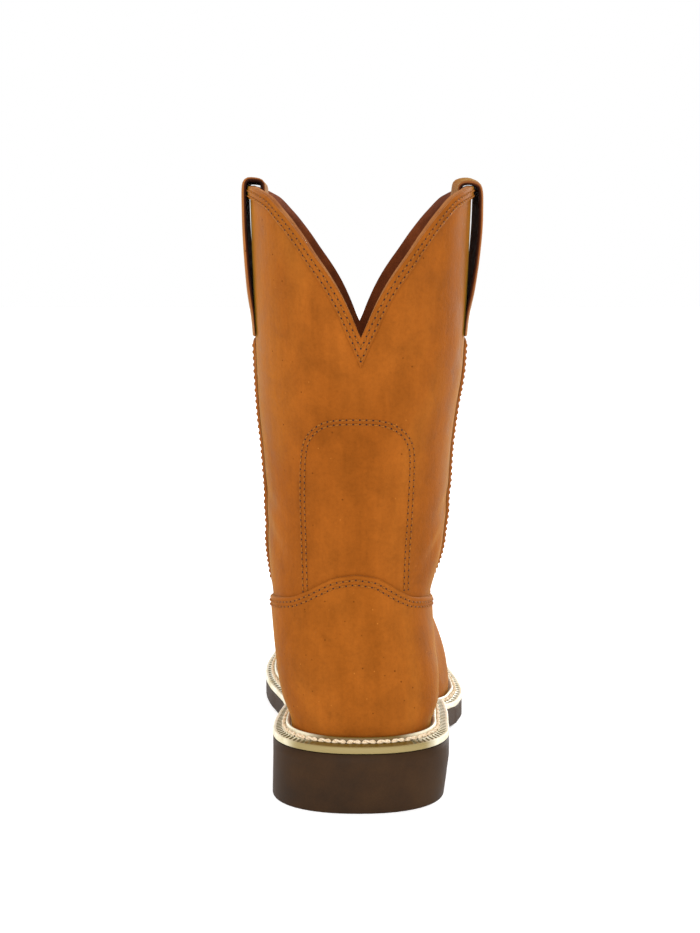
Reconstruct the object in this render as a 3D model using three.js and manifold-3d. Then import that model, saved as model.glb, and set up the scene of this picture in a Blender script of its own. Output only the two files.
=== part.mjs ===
// A right-foot pull-on western work boot: leather shaft and foot, stitched welt, rubber outsole and heel.
// Millimetres. +X points to the outer side of the foot, +Y to the toe and +Z up.
// Tables measure y forward from the back of the welt. The finished group stands with its origin
// on the floor under the middle of the heel.
import * as THREE from "three";
import Module from "manifold-3d";

const wasm = await Module();
wasm.setup();

// Sole
const SOLE_LENGTH = 298;
const BALL_WIDTH = 106;
const HEEL_WIDTH = 80;
const HEEL_LENGTH = 70;
const HEEL_BLOCK = 18;
const HEEL_TAPER = 0.9;
const HEEL_LEAN = 1.3;
const BREAST_HOLLOW = 3.5;
const OUTSOLE_THICKNESS = 9;
const OUTSOLE_INSET = 0.4;
const TOE_SPRING = 10;
const TOE_SWING = 5;
const WELT_THICKNESS = 2.9;
const WELT_LIP_HEIGHT = 2.8;
const WELT_LIP_WIDTH = 2.5;
const LIP_LEAN = 1.3;
const WELT_RISE = 0.8;
const WELT_BEVEL = 0.5;
const GROOVE_DEPTH = 1.6;
const GROOVE_WIDTH = 3.2;
const GROOVE_PITCH = 9.5;
const TREAD_MARGIN = 9;
const INSOLE_THICKNESS = 4.6;

// Upper
const BOOT_HEIGHT = 273.4;
const SCALLOP_DROP = 65;
const SHAFT_WIDTH = 101;
const SHAFT_DEPTH = 135;
const INSTEP_RISE = 95;
const UPPER_WALL = 2.2;
const OVERLAY_WALL = 1.3;
const HEEL_MARGIN = 8.4;
const FOREPART_MARGIN = 7.4;
const BINDING_WIDTH = 5.6;
const BINDING_WALL = 0.8;
const SEAM_WIDTH = 11;
const SEAM_WALL = 0.9;
const COUNTER_HEIGHT = 104;
const COUNTER_CORNER_HEIGHT = 83;
const COUNTER_CORNER_ALONG = 82;
const COUNTER_FRONT_ALONG = 140;
const TONGUE_HEIGHT = 146;
const PANEL_GAP = 0.7;

// Pull straps
const STRAP_WIDTH = 30;
const STRAP_WALL = 2.1;
const STRAP_FOOT_HEIGHT = 206;
const STRAP_FINGER_GAP = 2.2;

// How each strap stands: its bow out from the wall, its rise over the collar, and how much further
// out (twist) and lower (tilt) its back edge lies than its front edge
const STRAP_OUTER = { bow: 2.65, rise: 1.95, twist: 1.6, tilt: 2 };
const STRAP_INNER = { bow: 1.5, rise: 2.1, twist: 0.2, tilt: -1.4 };

// Gap between curved pieces that meet
const CLEARANCE = 0.3;

// How finely the upper and its overlays are made, and how far a cutting patch reaches past them
const STATIONS = 24;
const UPPER_ROWS = 19;
const PANEL_ROWS = 12;
const SEAM_ROWS = 12;
const COUNTER_COLUMNS = 25;
const VAMP_COLUMNS = 29;
const STRAP_STEPS = 30;
const HEEL_STEPS = 18;
const DRUM_SIDES = 120;
const CUT_REACH = 1.5;

// Corners nearer together than this are merged
const MERGE_WITHIN = 0.02;

// Half widths of the welt's outer edge. "at" is a share of SOLE_LENGTH. "inner" and "outer" are
// shares of half HEEL_WIDTH at the back and of half BALL_WIDTH from the ball on; through the waist
// they are shares of a width that passes from the one to the other.
const OUTLINE = [
  { at: 0.0, inner: 1.0, outer: 1.0 },
  { at: 0.13, inner: 1.0, outer: 1.003 },
  { at: 0.2, inner: 0.957, outer: 1.018 },
  { at: 0.3, inner: 0.79, outer: 0.923 },
  { at: 0.38, inner: 0.7, outer: 0.848 },
  { at: 0.45, inner: 0.7, outer: 0.871 },
  { at: 0.51, inner: 0.743, outer: 0.965 },
  { at: 0.56, inner: 0.815, outer: 1.017 },
  { at: 0.62, inner: 0.903, outer: 1.005 },
  { at: 0.68, inner: 0.955, outer: 0.968 },
  { at: 0.76, inner: 0.98, outer: 0.92 },
  { at: 1.0, inner: 0.98, outer: 0.88 },
];

// The shaft and heel in level sections. "height" is a share of the rise from the heel seat to the
// top, "back" and "front" are shares of SHAFT_DEPTH, and "inner" and "outer" of half SHAFT_WIDTH.
// "round" is how far the back's rounding reaches, as a share of SHAFT_DEPTH.
const SHAFT = [
  { height: 0.0, back: 0.066, front: 1.8, inner: 0.605, outer: 0.61, round: 0.23 },
  { height: 0.04, back: 0.058, front: 1.7, inner: 0.655, outer: 0.665, round: 0.24 },
  { height: 0.09, back: 0.056, front: 1.5, inner: 0.712, outer: 0.67, round: 0.26 },
  { height: 0.15, back: 0.066, front: 1.35, inner: 0.752, outer: 0.638, round: 0.29 },
  { height: 0.22, back: 0.09, front: 1.17, inner: 0.79, outer: 0.622, round: 0.33 },
  { height: 0.3, back: 0.112, front: 1.03, inner: 0.84, outer: 0.722, round: 0.38 },
  { height: 0.37, back: 0.115, front: 0.945, inner: 0.862, outer: 0.785, round: 0.42 },
  { height: 0.44, back: 0.108, front: 0.912, inner: 0.877, outer: 0.81, round: 0.44 },
  { height: 0.51, back: 0.094, front: 0.905, inner: 0.9, outer: 0.83, round: 0.45 },
  { height: 0.58, back: 0.079, front: 0.912, inner: 0.932, outer: 0.868, round: 0.46 },
  { height: 0.66, back: 0.064, front: 0.929, inner: 0.95, outer: 0.925, round: 0.47 },
  { height: 0.74, back: 0.051, front: 0.953, inner: 0.962, outer: 0.945, round: 0.48 },
  { height: 0.87, back: 0.038, front: 0.992, inner: 0.982, outer: 0.972, round: 0.486 },
  { height: 1.0, back: 0.03, front: 1.03, inner: 1.0, outer: 0.995, round: 0.5 },
];

// The foot's body above the feather edge: half widths as shares of half BALL_WIDTH.
const BODY = [
  { at: 0.0, inner: 0.72, outer: 0.66 },
  { at: 0.2, inner: 0.72, outer: 0.65 },
  { at: 0.33, inner: 0.7, outer: 0.65 },
  { at: 0.43, inner: 0.715, outer: 0.69 },
  { at: 0.5, inner: 0.74, outer: 0.79 },
  { at: 0.56, inner: 0.775, outer: 0.875 },
  { at: 0.63, inner: 0.8, outer: 0.875 },
  { at: 0.73, inner: 0.815, outer: 0.85 },
  { at: 1.0, inner: 0.815, outer: 0.835 },
];

// The ridge of the foot seen from the side, from the toe to the bend of the instep. "along" is a
// share of SOLE_LENGTH, "rise" of INSTEP_RISE above the feather, and "heel" is the height where the
// same section ends at the back, as a share of the rise from the heel seat to the top.
const RIDGE = [
  { along: 0.969, rise: 0.0, heel: 0.0 },
  { along: 0.973, rise: 0.13, heel: 0.012 },
  { along: 0.965, rise: 0.24, heel: 0.025 },
  { along: 0.945, rise: 0.32, heel: 0.037 },
  { along: 0.905, rise: 0.385, heel: 0.052 },
  { along: 0.852, rise: 0.434, heel: 0.069 },
  { along: 0.79, rise: 0.487, heel: 0.09 },
  { along: 0.726, rise: 0.548, heel: 0.112 },
  { along: 0.662, rise: 0.622, heel: 0.135 },
  { along: 0.602, rise: 0.708, heel: 0.16 },
  { along: 0.548, rise: 0.8, heel: 0.185 },
  { along: 0.504, rise: 0.895, heel: 0.213 },
  { along: 0.47, rise: 1.0, heel: 0.243 },
];

// The shaft's own sections: height at the front and at the back, as shares of the same rise.
const SHAFT_LOOPS = [
  { front: 0.365, heel: 0.277 },
  { front: 0.42, heel: 0.32 },
  { front: 0.49, heel: 0.385 },
  { front: 0.565, heel: 0.475 },
  { front: 0.645, heel: 0.575 },
];

// How far the collar dips from its side peaks to the notches: "around" is 0 at the side seam and
// 1 at the middle of the front or back, and "drop" is a share of SCALLOP_DROP.
const COLLAR = [
  { around: 0.0, drop: 0.0 },
  { around: 0.2, drop: 0.012 },
  { around: 0.42, drop: 0.07 },
  { around: 0.56, drop: 0.185 },
  { around: 0.67, drop: 0.32 },
  { around: 0.76, drop: 0.46 },
  { around: 0.84, drop: 0.59 },
  { around: 0.9, drop: 0.71 },
  { around: 0.95, drop: 0.84 },
  { around: 1.0, drop: 1.0 },
];

// The counter's top edge from the middle of the back to its front corner.
const COUNTER_TOP = [
  { around: 0.0, height: 1.0 },
  { around: 0.12, height: 0.93 },
  { around: 0.22, height: 0.775 },
  { around: 0.33, height: 0.57 },
  { around: 0.42, height: 0.435 },
  { around: 0.52, height: 0.36 },
  { around: 0.75, height: 0.22 },
  { around: 1.0, height: 0.0 },
];

// The vamp's top edge from its side corner to the middle of the tongue.
const VAMP_TOP = [
  { around: 0.0, height: 0.0 },
  { around: 0.25, height: 0.06 },
  { around: 0.5, height: 0.27 },
  { around: 0.72, height: 0.7 },
  { around: 0.88, height: 0.95 },
  { around: 1.0, height: 1.0 },
];

// The pull strap's middle line, up the outside and down the inside of the collar. "height" is a
// share of the way from the strap's foot to its top. "side" is 1 outside the wall and -1 inside it,
// and "out" is a share of the strap's bow outside and of the finger gap inside.
const STRAP = [
  { height: 0.0, out: 0.0, side: 1 },
  { height: 0.14, out: 0.03, side: 1 },
  { height: 0.3, out: 0.38, side: 1 },
  { height: 0.48, out: 0.77, side: 1 },
  { height: 0.68, out: 1.0, side: 1 },
  { height: 0.84, out: 0.96, side: 1 },
  { height: 0.94, out: 0.82, side: 1 },
  { height: 0.985, out: 0.4, side: 1 },
  { height: 1.0, out: -1.05, side: 1 },
  { height: 0.985, out: 0.6, side: -1 },
  { height: 0.93, out: 0.95, side: -1 },
  { height: 0.82, out: 1.0, side: -1 },
  { height: 0.66, out: 0.8, side: -1 },
  { height: 0.46, out: 0.4, side: -1 },
  { height: 0.25, out: 0.08, side: -1 },
  { height: 0.08, out: 0.0, side: -1 },
];

const clamp = THREE.MathUtils.clamp;
const lerp = THREE.MathUtils.lerp;
const smooth = (value, from, to) => THREE.MathUtils.smoothstep(value, from, to);

const shares = (count) => Array.from({ length: count + 1 }, (_, i) => i / count);

// Smooth reading of one column of a table, without overshoot between rows.
function read(table, key, column, value) {
  const last = table.length - 1;
  const position = clamp(value, table[0][key], table[last][key]);
  let row = 0;
  while (row < last - 1 && position > table[row + 1][key]) row += 1;
  const slope = (i) => {
    if (i < 0 || i >= last) return null;
    return (table[i + 1][column] - table[i][column]) / (table[i + 1][key] - table[i][key]);
  };
  const tangent = (i) => {
    const before = slope(i - 1);
    const after = slope(i);
    if (before === null) return after;
    if (after === null) return before;
    return before * after <= 0 ? 0 : (2 * before * after) / (before + after);
  };
  const span = table[row + 1][key] - table[row][key];
  const s = (position - table[row][key]) / span;
  const start = table[row][column] * (1 + 2 * s) * (1 - s) ** 2;
  const end = table[row + 1][column] * s * s * (3 - 2 * s);
  const bends = tangent(row) * s * (1 - s) ** 2 - tangent(row + 1) * s * s * (1 - s);
  return start + end + bends * span;
}

// 0 to 1 over a rounded end: 0 at the end itself and 1 once the rounding is done.
function rounding(distance, reach, power) {
  const rest = 1 - clamp(distance / reach, 0, 1);
  return (1 - rest ** power) ** (1 / power);
}

// Shares of the boot's length that all pieces have their cross sections at, close together at the
// heel and toe. Pieces with other insets shift only near their ends, so that they meet well between.
const stationShare = (station) => (1 - Math.cos((Math.PI * station) / STATIONS)) / 2;

function stationY(share, start, end) {
  const back = start * (1 - smooth(share, 0, 0.24));
  const front = (SOLE_LENGTH - end) * smooth(share, 0.76, 1);
  return SOLE_LENGTH * share + back - front;
}

// The first station that lies clear of the heel block
function shankStart() {
  let station = 0;
  while (SOLE_LENGTH * stationShare(station) < HEEL_LENGTH + CLEARANCE) station += 1;
  return SOLE_LENGTH * stationShare(station);
}

// Heights of the sole's layers
const SHANK_START = shankStart();
const SHANK_END = 0.5 * SOLE_LENGTH;
const SPRING_START = 0.69 * SOLE_LENGTH;

function treadHeight(y) {
  const shank = HEEL_BLOCK * (1 - smooth(y, SHANK_START, SHANK_END));
  const past = clamp((y - SPRING_START) / (SOLE_LENGTH - SPRING_START), 0, 1.1);
  return shank + TOE_SPRING * past * past;
}

const outsoleTop = (y) => treadHeight(y) + OUTSOLE_THICKNESS;
const weltBottom = (y) => outsoleTop(y) + CLEARANCE;
const weltTop = (y) => weltBottom(y) + WELT_THICKNESS;
const featherHeight = (y) => weltTop(y) + CLEARANCE;
const HEEL_SEAT = featherHeight(0);
const SHAFT_RISE = BOOT_HEIGHT - HEEL_SEAT;

// The rounding of the heel and of the toe: how far it reaches, where it starts, and the power of
// its curve, where 2 is an ellipse. The heel's reach shortens by a share of each inset.
const HEEL_REACH = 0.12 * SOLE_LENGTH;
const HEEL_SHORTENING = 0.8;
const HEEL_POWER = 2.25;
const TOE_START = 0.68 * SOLE_LENGTH;
const TOE_POWER = 2.25;

// Where the outline passes from the heel's width to the ball's, and where the toe starts to swing in
const WAIST_START = 0.2 * SOLE_LENGTH;
const WAIST_END = 0.5 * SOLE_LENGTH;
const SWING_START = 0.64 * SOLE_LENGTH;

const toeSwing = (y) => {
  const past = clamp((y - SWING_START) / (SOLE_LENGTH - SWING_START), 0, 1);
  return -TOE_SWING * past * past;
};

// Half width of the sole on one side (1 outer, -1 inner), inset from the welt's edge,
// measured from the toe's swung middle line.
function soleHalfWidth(y, side, inset) {
  const column = side > 0 ? "outer" : "inner";
  const share = read(OUTLINE, "at", column, y / SOLE_LENGTH);
  const base = share * lerp(HEEL_WIDTH / 2, BALL_WIDTH / 2, smooth(y, WAIST_START, WAIST_END));
  const heel = rounding(y - inset, HEEL_REACH - inset * HEEL_SHORTENING, HEEL_POWER);
  const end = SOLE_LENGTH - inset;
  const past = clamp((y - TOE_START) / (end - TOE_START), 0, 1);
  const toe = (1 - past ** TOE_POWER) ** (1 / TOE_POWER);
  return (base - inset - side * toeSwing(y)) * heel * toe;
}

// One point of the sole's outline. "turn" runs from 0 at the heel round the outer side to 0.5 at
// the toe, and back along the inner side to 1.
function solePoint(turn, inset) {
  const side = turn <= 0.5 ? 1 : -1;
  const y = stationY(stationShare(2 * STATIONS * turn), inset, SOLE_LENGTH - inset);
  const x = toeSwing(y) + side * soleHalfWidth(y, side, inset);
  return { x, y };
}

// Margin of welt that shows beyond the upper, with the overlays on it
const weltMargin = (y) => lerp(HEEL_MARGIN, FOREPART_MARGIN, smooth(y, WAIST_START, WAIST_END));
const featherInset = (y) => weltMargin(y) + CLEARANCE + OVERLAY_WALL;

// Side view of the upper: its back line and its ridge
const heightAt = (share) => HEEL_SEAT + share * SHAFT_RISE;
const shareOf = (z) => clamp((z - HEEL_SEAT) / SHAFT_RISE, 0, 1);
const backLine = (z) => SHAFT_DEPTH * read(SHAFT, "height", "back", shareOf(z));
const shaftFront = (z) => SHAFT_DEPTH * read(SHAFT, "height", "front", shareOf(z));

const FRONT_LINE = [
  ...RIDGE.map((row, i) => {
    const y = row.along * SOLE_LENGTH;
    return { i, y, z: featherHeight(y) + row.rise * INSTEP_RISE, heel: heightAt(row.heel) };
  }),
  ...SHAFT_LOOPS.map((row, i) => {
    const z = heightAt(row.front);
    return { i: RIDGE.length + i, y: shaftFront(z), z, heel: heightAt(row.heel) };
  }),
];
const LAST_LOOP = FRONT_LINE.length - 1;

// How steeply the ridge rises where the shaft takes over
const SHAFT_SLOPE = 8;

// The same ridge as a height over y, from where the shaft stands upright to the toe's foremost point
const RIDGE_START = 1;
const RIDGE_END = RIDGE.length + 1;
const RIDGE_STEPS = 8 * (RIDGE_END - RIDGE_START);
const RIDGE_HEIGHTS = shares(RIDGE_STEPS)
  .map((share) => lerp(RIDGE_END, RIDGE_START, share))
  .map((i) => ({ y: read(FRONT_LINE, "i", "y", i), z: read(FRONT_LINE, "i", "z", i) }));

const ridgeHeight = (y) => {
  const first = RIDGE_HEIGHTS[0];
  return y < first.y ? first.z + SHAFT_SLOPE * (first.y - y) : read(RIDGE_HEIGHTS, "y", "z", y);
};

// How far the toe's middle height reaches past the feather edge's own curve, and over which height
// and length it comes in
const TOE_BULGE = 2.6;
const BULGE_HEIGHT = 12;
const BULGE_START = 0.75 * SOLE_LENGTH;
const BULGE_END = 0.95 * SOLE_LENGTH;

// Where the foot's body passes from its table to the toe's outline, and how much fuller it is there
const TOE_BODY_START = 0.52 * SOLE_LENGTH;
const TOE_BODY_END = 0.66 * SOLE_LENGTH;
const TOE_FULLNESS = 0.8;

// The heights over the feather edge between which the body's width comes in
const BODY_LOW = -4;
const BODY_HIGH = 26;

// The foot's cross section: how late it starts to close, and how round its shoulder is
const CROWN_POWER = { outer: 1.6, inner: 2.3 };
const SHOULDER_POWER = 1.9;

// Half width by the foot's upright cross sections
function footHalfWidth(y, z, side) {
  const column = side > 0 ? "outer" : "inner";
  const inset = featherInset(y);
  const above = z - featherHeight(y);
  const bulge = TOE_BULGE * smooth(above, 0, BULGE_HEIGHT) * smooth(y, BULGE_START, BULGE_END);
  const feather = soleHalfWidth(clamp(y - bulge, inset, SOLE_LENGTH - inset), side, inset);
  const wide = (BALL_WIDTH / 2) * read(BODY, "at", column, y / SOLE_LENGTH) - side * toeSwing(y);
  const body = lerp(wide, feather + TOE_FULLNESS, smooth(y, TOE_BODY_START, TOE_BODY_END));
  const half = lerp(feather, body, smooth(above, BODY_LOW, BODY_HIGH));
  const rise = clamp(above / (ridgeHeight(y) - featherHeight(y)), 0, 1);
  return half * (1 - rise ** CROWN_POWER[column]) ** (1 / SHOULDER_POWER);
}

// The shaft's level section: the power of its rounded ends, the reach of the front one as a share
// of SHAFT_DEPTH, and how much of the difference between its sides shifts its middle
const SECTION_POWER = 2.15;
const FRONT_ROUND = 0.5;
const MIDDLE_SHIFT = 0.4;

// Half width by the shaft's and heel's level sections
function shaftHalfWidth(y, z, side) {
  const share = shareOf(z);
  const half = (SHAFT_WIDTH / 2) * read(SHAFT, "height", side > 0 ? "outer" : "inner", share);
  const reach = SHAFT_DEPTH * read(SHAFT, "height", "round", share);
  const back = rounding(y - backLine(z), reach, SECTION_POWER);
  const front = rounding(shaftFront(z) - y, FRONT_ROUND * SHAFT_DEPTH, SECTION_POWER);
  return (half - side * shaftMiddle(z)) * back * front;
}

function shaftMiddle(z) {
  const share = shareOf(z);
  const outer = read(SHAFT, "height", "outer", share);
  const inner = read(SHAFT, "height", "inner", share);
  return MIDDLE_SHIFT * (SHAFT_WIDTH / 2) * (outer - inner);
}

// The slanting line through the ankle where the foot's sections meet the shaft's: its place along
// the sole at one height, its slant and how wide the two blend
const ANKLE_ALONG = 0.335 * SOLE_LENGTH;
const ANKLE_HEIGHT = 50;
const ANKLE_SLANT = 0.64;
const ANKLE_BLEND = 0.13 * SOLE_LENGTH;

// 0 where the shaft's sections rule and 1 where the foot's do
function footShare(y, z) {
  const line = ANKLE_ALONG + ANKLE_SLANT * (z - ANKLE_HEIGHT);
  return smooth((y - line) / ANKLE_BLEND, -1, 1);
}

// The level over which the sections lean toward the collar's own curve
const PLAIN_LEVEL = 0.76;

// The loops, counted up from the feather edge, by which a section has left the feather edge's
// stations and its hug of the welt
const STATION_LOOPS = 3;
const HUG_LOOPS = 5.5;

// Where a section of the upper runs, seen from the side: "level" 0 is the feather edge and
// 1 the collar, and "share" is 0 at the back and 1 at the front.
function chord(level, share) {
  const loop = LAST_LOOP * Math.min(1, level / PLAIN_LEVEL);
  const front = { y: read(FRONT_LINE, "i", "y", loop), z: read(FRONT_LINE, "i", "z", loop) };
  const heelZ = read(FRONT_LINE, "i", "heel", loop);
  const start = featherInset(0);
  const end = SOLE_LENGTH - featherInset(SOLE_LENGTH);
  const settled = smooth(loop, 0, STATION_LOOPS);
  const y = lerp(stationY(share, start, end), lerp(backLine(heelZ), front.y, share), settled);
  const straight = lerp(heelZ, front.z, share);
  const hugs = 1 - smooth(loop, 0, HUG_LOOPS);
  const feather = featherHeight(y) + (heelZ - HEEL_SEAT) * (1 - share);
  const lift = (front.z - featherHeight(front.y)) * share ** 3;
  return { y, z: lerp(straight, feather + lift, hugs), frontY: lerp(end, front.y, settled) };
}

// The feather edge, where the upper meets the welt, by its share of the way to the toe
function featherX(share, side) {
  const y = stationY(share, featherInset(0), SOLE_LENGTH - featherInset(SOLE_LENGTH));
  return toeSwing(y) + side * soleHalfWidth(y, side, featherInset(y));
}

// How far before its front end each section of the foot starts to close
const CREST_ROUNDING = 3;

// How high over the feather edge the face has left that edge's own outline
const FEATHER_BLEND = 14;

// A point of the upper's outer face. "turn" runs from 0 at the back round the outer side to 0.5 at
// the front, and back along the inner side to 1.
function facePoint(turn, level) {
  const wrapped = ((turn % 1) + 1) % 1;
  const side = wrapped <= 0.5 ? 1 : -1;
  const share = (1 - Math.cos(2 * Math.PI * wrapped)) / 2;
  const at = chord(level, share);
  let { y, z } = at;
  if (level > PLAIN_LEVEL) {
    const around = Math.abs(1 - 4 * (wrapped <= 0.5 ? wrapped : 1 - wrapped));
    const top = BOOT_HEIGHT - SCALLOP_DROP * read(COLLAR, "around", "drop", around);
    z = lerp(z, top, (level - PLAIN_LEVEL) / (1 - PLAIN_LEVEL));
    y = lerp(backLine(z), shaftFront(z), share);
  }
  const foot = footShare(y, z);
  const middle = lerp(shaftMiddle(z), toeSwing(y), foot);
  const closing = rounding(at.frontY - at.y, CREST_ROUNDING, 2);
  const half = lerp(shaftHalfWidth(y, z, side), closing * footHalfWidth(y, z, side), foot);
  const grown = smooth(z - featherHeight(y), 0, FEATHER_BLEND);
  const x = lerp(featherX(share, side), middle + side * half, grown);
  return new THREE.Vector3(x, y, z);
}

// The small step in turn or level that slopes of the face are measured over
const SLOPE_STEP = 0.004;

// Within this much of the feather edge and the collar the normal is laid nearly level
const EDGE_LEVELS = 0.02;
const EDGE_FLATNESS = 0.2;

// The same point moved along the face's outward normal. Past the feather edge and the collar the
// face goes straight down or up, by the whole boot's height for each level.
function offsetPoint(turn, level, offset) {
  const step = SLOPE_STEP;
  const inside = clamp(level, 0, 1);
  const point = facePoint(turn, inside);
  const low = Math.max(0, inside - step);
  const high = Math.min(1, inside + step);
  const alongTurn = facePoint(turn + step, inside).sub(facePoint(turn - step, inside));
  const alongLevel = facePoint(turn, high).sub(facePoint(turn, low));
  const normal = alongTurn.cross(alongLevel).normalize();
  if (inside < EDGE_LEVELS || inside > 1 - EDGE_LEVELS) {
    normal.setZ(normal.z * EDGE_FLATNESS).normalize();
  }
  point.z += (level - inside) * BOOT_HEIGHT;
  return point.addScaledVector(normal, offset);
}

// A closed body between two matching grids of points. Grids are rows of points; "ring" joins each
// row's end to its start.
function slabGeometry(outer, inner, ring) {
  const rows = outer.length;
  const columns = outer[0].length;
  const points = [...outer.flat(), ...inner.flat()];
  const index = [];
  const at = (face, row, column) => face * rows * columns + row * columns + (column % columns);
  const quad = (a, b, c, d) => index.push(a, b, c, a, c, d);
  const spans = ring ? columns : columns - 1;
  for (let row = 0; row < rows - 1; row += 1) {
    for (let column = 0; column < spans; column += 1) {
      const next = column + 1;
      quad(at(0, row, column), at(0, row, next), at(0, row + 1, next), at(0, row + 1, column));
      quad(at(1, row, column), at(1, row + 1, column), at(1, row + 1, next), at(1, row, next));
    }
  }
  for (let column = 0; column < spans; column += 1) {
    const next = column + 1;
    quad(at(0, 0, column), at(1, 0, column), at(1, 0, next), at(0, 0, next));
    const top = rows - 1;
    quad(at(0, top, column), at(0, top, next), at(1, top, next), at(1, top, column));
  }
  if (!ring) {
    for (let row = 0; row < rows - 1; row += 1) {
      const end = columns - 1;
      quad(at(0, row, 0), at(0, row + 1, 0), at(1, row + 1, 0), at(1, row, 0));
      quad(at(0, row, end), at(1, row, end), at(1, row + 1, end), at(0, row + 1, end));
    }
  }
  return geometryOf(points, index);
}

function geometryOf(points, index) {
  const geometry = new THREE.BufferGeometry().setFromPoints(points);
  geometry.setIndex(index);
  return geometry;
}

// Solids for cutting and joining

function solidOf(geometry) {
  const mesh = new wasm.Mesh({
    numProp: 3,
    vertProperties: new Float32Array(geometry.getAttribute("position").array),
    triVerts: new Uint32Array(geometry.getIndex().array),
  });
  return new wasm.Manifold(mesh);
}

function geometryFrom(solid) {
  const { vertProperties, triVerts, numProp } = solid.simplify(MERGE_WITHIN).getMesh();
  const points = [];
  for (let i = 0; i < vertProperties.length; i += numProp) {
    points.push(new THREE.Vector3(...vertProperties.slice(i, i + 3)));
  }
  return geometryOf(points, Array.from(triVerts));
}

// A slab over the upper's face. "place" gives each grid point's turn and level.
function faceSlab(rows, columns, place, from, to, ring = false) {
  const across = ring ? shares(columns).slice(0, -1) : shares(columns);
  const grid = (offset) =>
    shares(rows).map((up) =>
      across.map((along) => {
        const { turn, level } = place(along, up);
        return offsetPoint(turn, level, offset);
      }),
    );
  return slabGeometry(grid(to), grid(from), ring);
}

// The whole face as one closed ring between two offsets. Every layer has the same grid, so their
// facets stay apart by the same distance.
function layer(from, to) {
  const place = (along, up) => ({ turn: along, level: up });
  return faceSlab(UPPER_ROWS, 2 * STATIONS, place, from, to, true);
}

const makeUpper = () => layer(-UPPER_WALL, 0);

// An overlay: a layer over the upper, cut by a thicker patch that has the overlay's outline.
function overlay(wall, rows, columns, place, ring = false) {
  const patch = faceSlab(rows, columns, place, CLEARANCE - CUT_REACH, wall + CUT_REACH, ring);
  const whole = solidOf(layer(CLEARANCE, CLEARANCE + wall));
  return geometryFrom(whole.intersect(solidOf(patch)));
}

// The level that a patch starts from, a little under the feather edge
const PAST_FEATHER = -0.04;

// The level that a patch ends at, a little over the collar
const PAST_COLLAR = 1.04;

// How often a search halves its range
const HALVINGS = 40;

// The level where a column of the face reaches a height.
function levelAtHeight(turn, height) {
  let low = 0;
  let high = 1;
  for (let i = 0; i < HALVINGS; i += 1) {
    const middle = (low + high) / 2;
    if (facePoint(turn, middle).z < height) low = middle;
    else high = middle;
  }
  return (low + high) / 2;
}

// The turns between which the seam from counter to vamp lies, and how much it bows
const SEAM_TURNS = { from: 0.03, to: 0.45 };
const SEAM_BOW = 0.8;

// The turn, on the outer side, where a level crosses the seam between counter and vamp.
function seamTurn(level) {
  let low = SEAM_TURNS.from;
  let high = SEAM_TURNS.to;
  const foot = featherHeight(COUNTER_FRONT_ALONG);
  for (let i = 0; i < HALVINGS; i += 1) {
    const middle = (low + high) / 2;
    const point = facePoint(middle, level);
    const up = clamp((point.z - foot) / (COUNTER_CORNER_HEIGHT - foot), 0, 1);
    const line = lerp(COUNTER_FRONT_ALONG, COUNTER_CORNER_ALONG, up ** SEAM_BOW);
    if (point.y < line) low = middle;
    else high = middle;
  }
  return (low + high) / 2;
}

function cornerLevel() {
  let level = 0.5;
  for (let i = 0; i < HALVINGS; i += 1) level = levelAtHeight(seamTurn(level), COUNTER_CORNER_HEIGHT);
  return level;
}
const CORNER_LEVEL = cornerLevel();

// A length along the face as a share of a turn
function turnFor(length, turn, level) {
  const step = SLOPE_STEP / 2;
  const span = facePoint(turn + step, level).distanceTo(facePoint(turn - step, level));
  return (length * 2 * step) / span;
}

function makeCounter() {
  const place = (along, up) => {
    const across = 2 * along - 1;
    const size = Math.abs(across);
    const rise = Math.max(0, lerp(PAST_FEATHER, CORNER_LEVEL, up));
    const edge = seamTurn(rise);
    const limit = edge - turnFor(PANEL_GAP / 2, edge, rise);
    const turn = across * limit;
    const height = read(COUNTER_TOP, "around", "height", size);
    const top = lerp(COUNTER_CORNER_HEIGHT, COUNTER_HEIGHT, height);
    return { turn, level: lerp(PAST_FEATHER, levelAtHeight(turn, top), up) };
  };
  return overlay(OVERLAY_WALL, PANEL_ROWS, COUNTER_COLUMNS, place);
}

function makeVamp() {
  const place = (along, up) => {
    const across = 2 * along - 1;
    const size = Math.abs(across);
    const rise = Math.max(0, lerp(PAST_FEATHER, CORNER_LEVEL, up));
    const edge = seamTurn(rise);
    const limit = 0.5 - edge - turnFor(PANEL_GAP / 2, edge, rise);
    const turn = 0.5 + across * limit;
    const height = read(VAMP_TOP, "around", "height", 1 - size);
    const top = lerp(COUNTER_CORNER_HEIGHT, TONGUE_HEIGHT, height);
    return { turn, level: lerp(PAST_FEATHER, levelAtHeight(turn, top), up) };
  };
  return overlay(OVERLAY_WALL, PANEL_ROWS, VAMP_COLUMNS, place);
}

function makeBinding() {
  const place = (along, up) => {
    const height = facePoint(along, 1).z - BINDING_WIDTH * (1 - up) * bindingStretch(along);
    return { turn: along, level: up === 1 ? PAST_COLLAR : levelAtHeight(along, height) };
  };
  return overlay(BINDING_WALL, 1, 2 * STATIONS, place, true);
}

// The most that a strip's height may grow on a steep edge
const STEEPEST_STRETCH = 2.3;

// Extra height that a strip of even width takes where the collar's edge slopes, by the steeper of
// the slopes on either side
function bindingStretch(turn) {
  const slope = (step) => {
    const run = facePoint(turn + step, 1).sub(facePoint(turn, 1));
    return Math.abs(run.z) / Math.hypot(run.x, run.y);
  };
  const steepest = Math.max(slope(SLOPE_STEP), slope(-SLOPE_STEP));
  return Math.min(STEEPEST_STRETCH, Math.hypot(1, steepest));
}

// How far a side seam stays from the counter's corner and the strap's foot, and the height from
// which it runs upright
const SEAM_FOOT_GAP = 7;
const SEAM_TOP_GAP = 2;
const SEAM_UPRIGHT_HEIGHT = 130;

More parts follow.
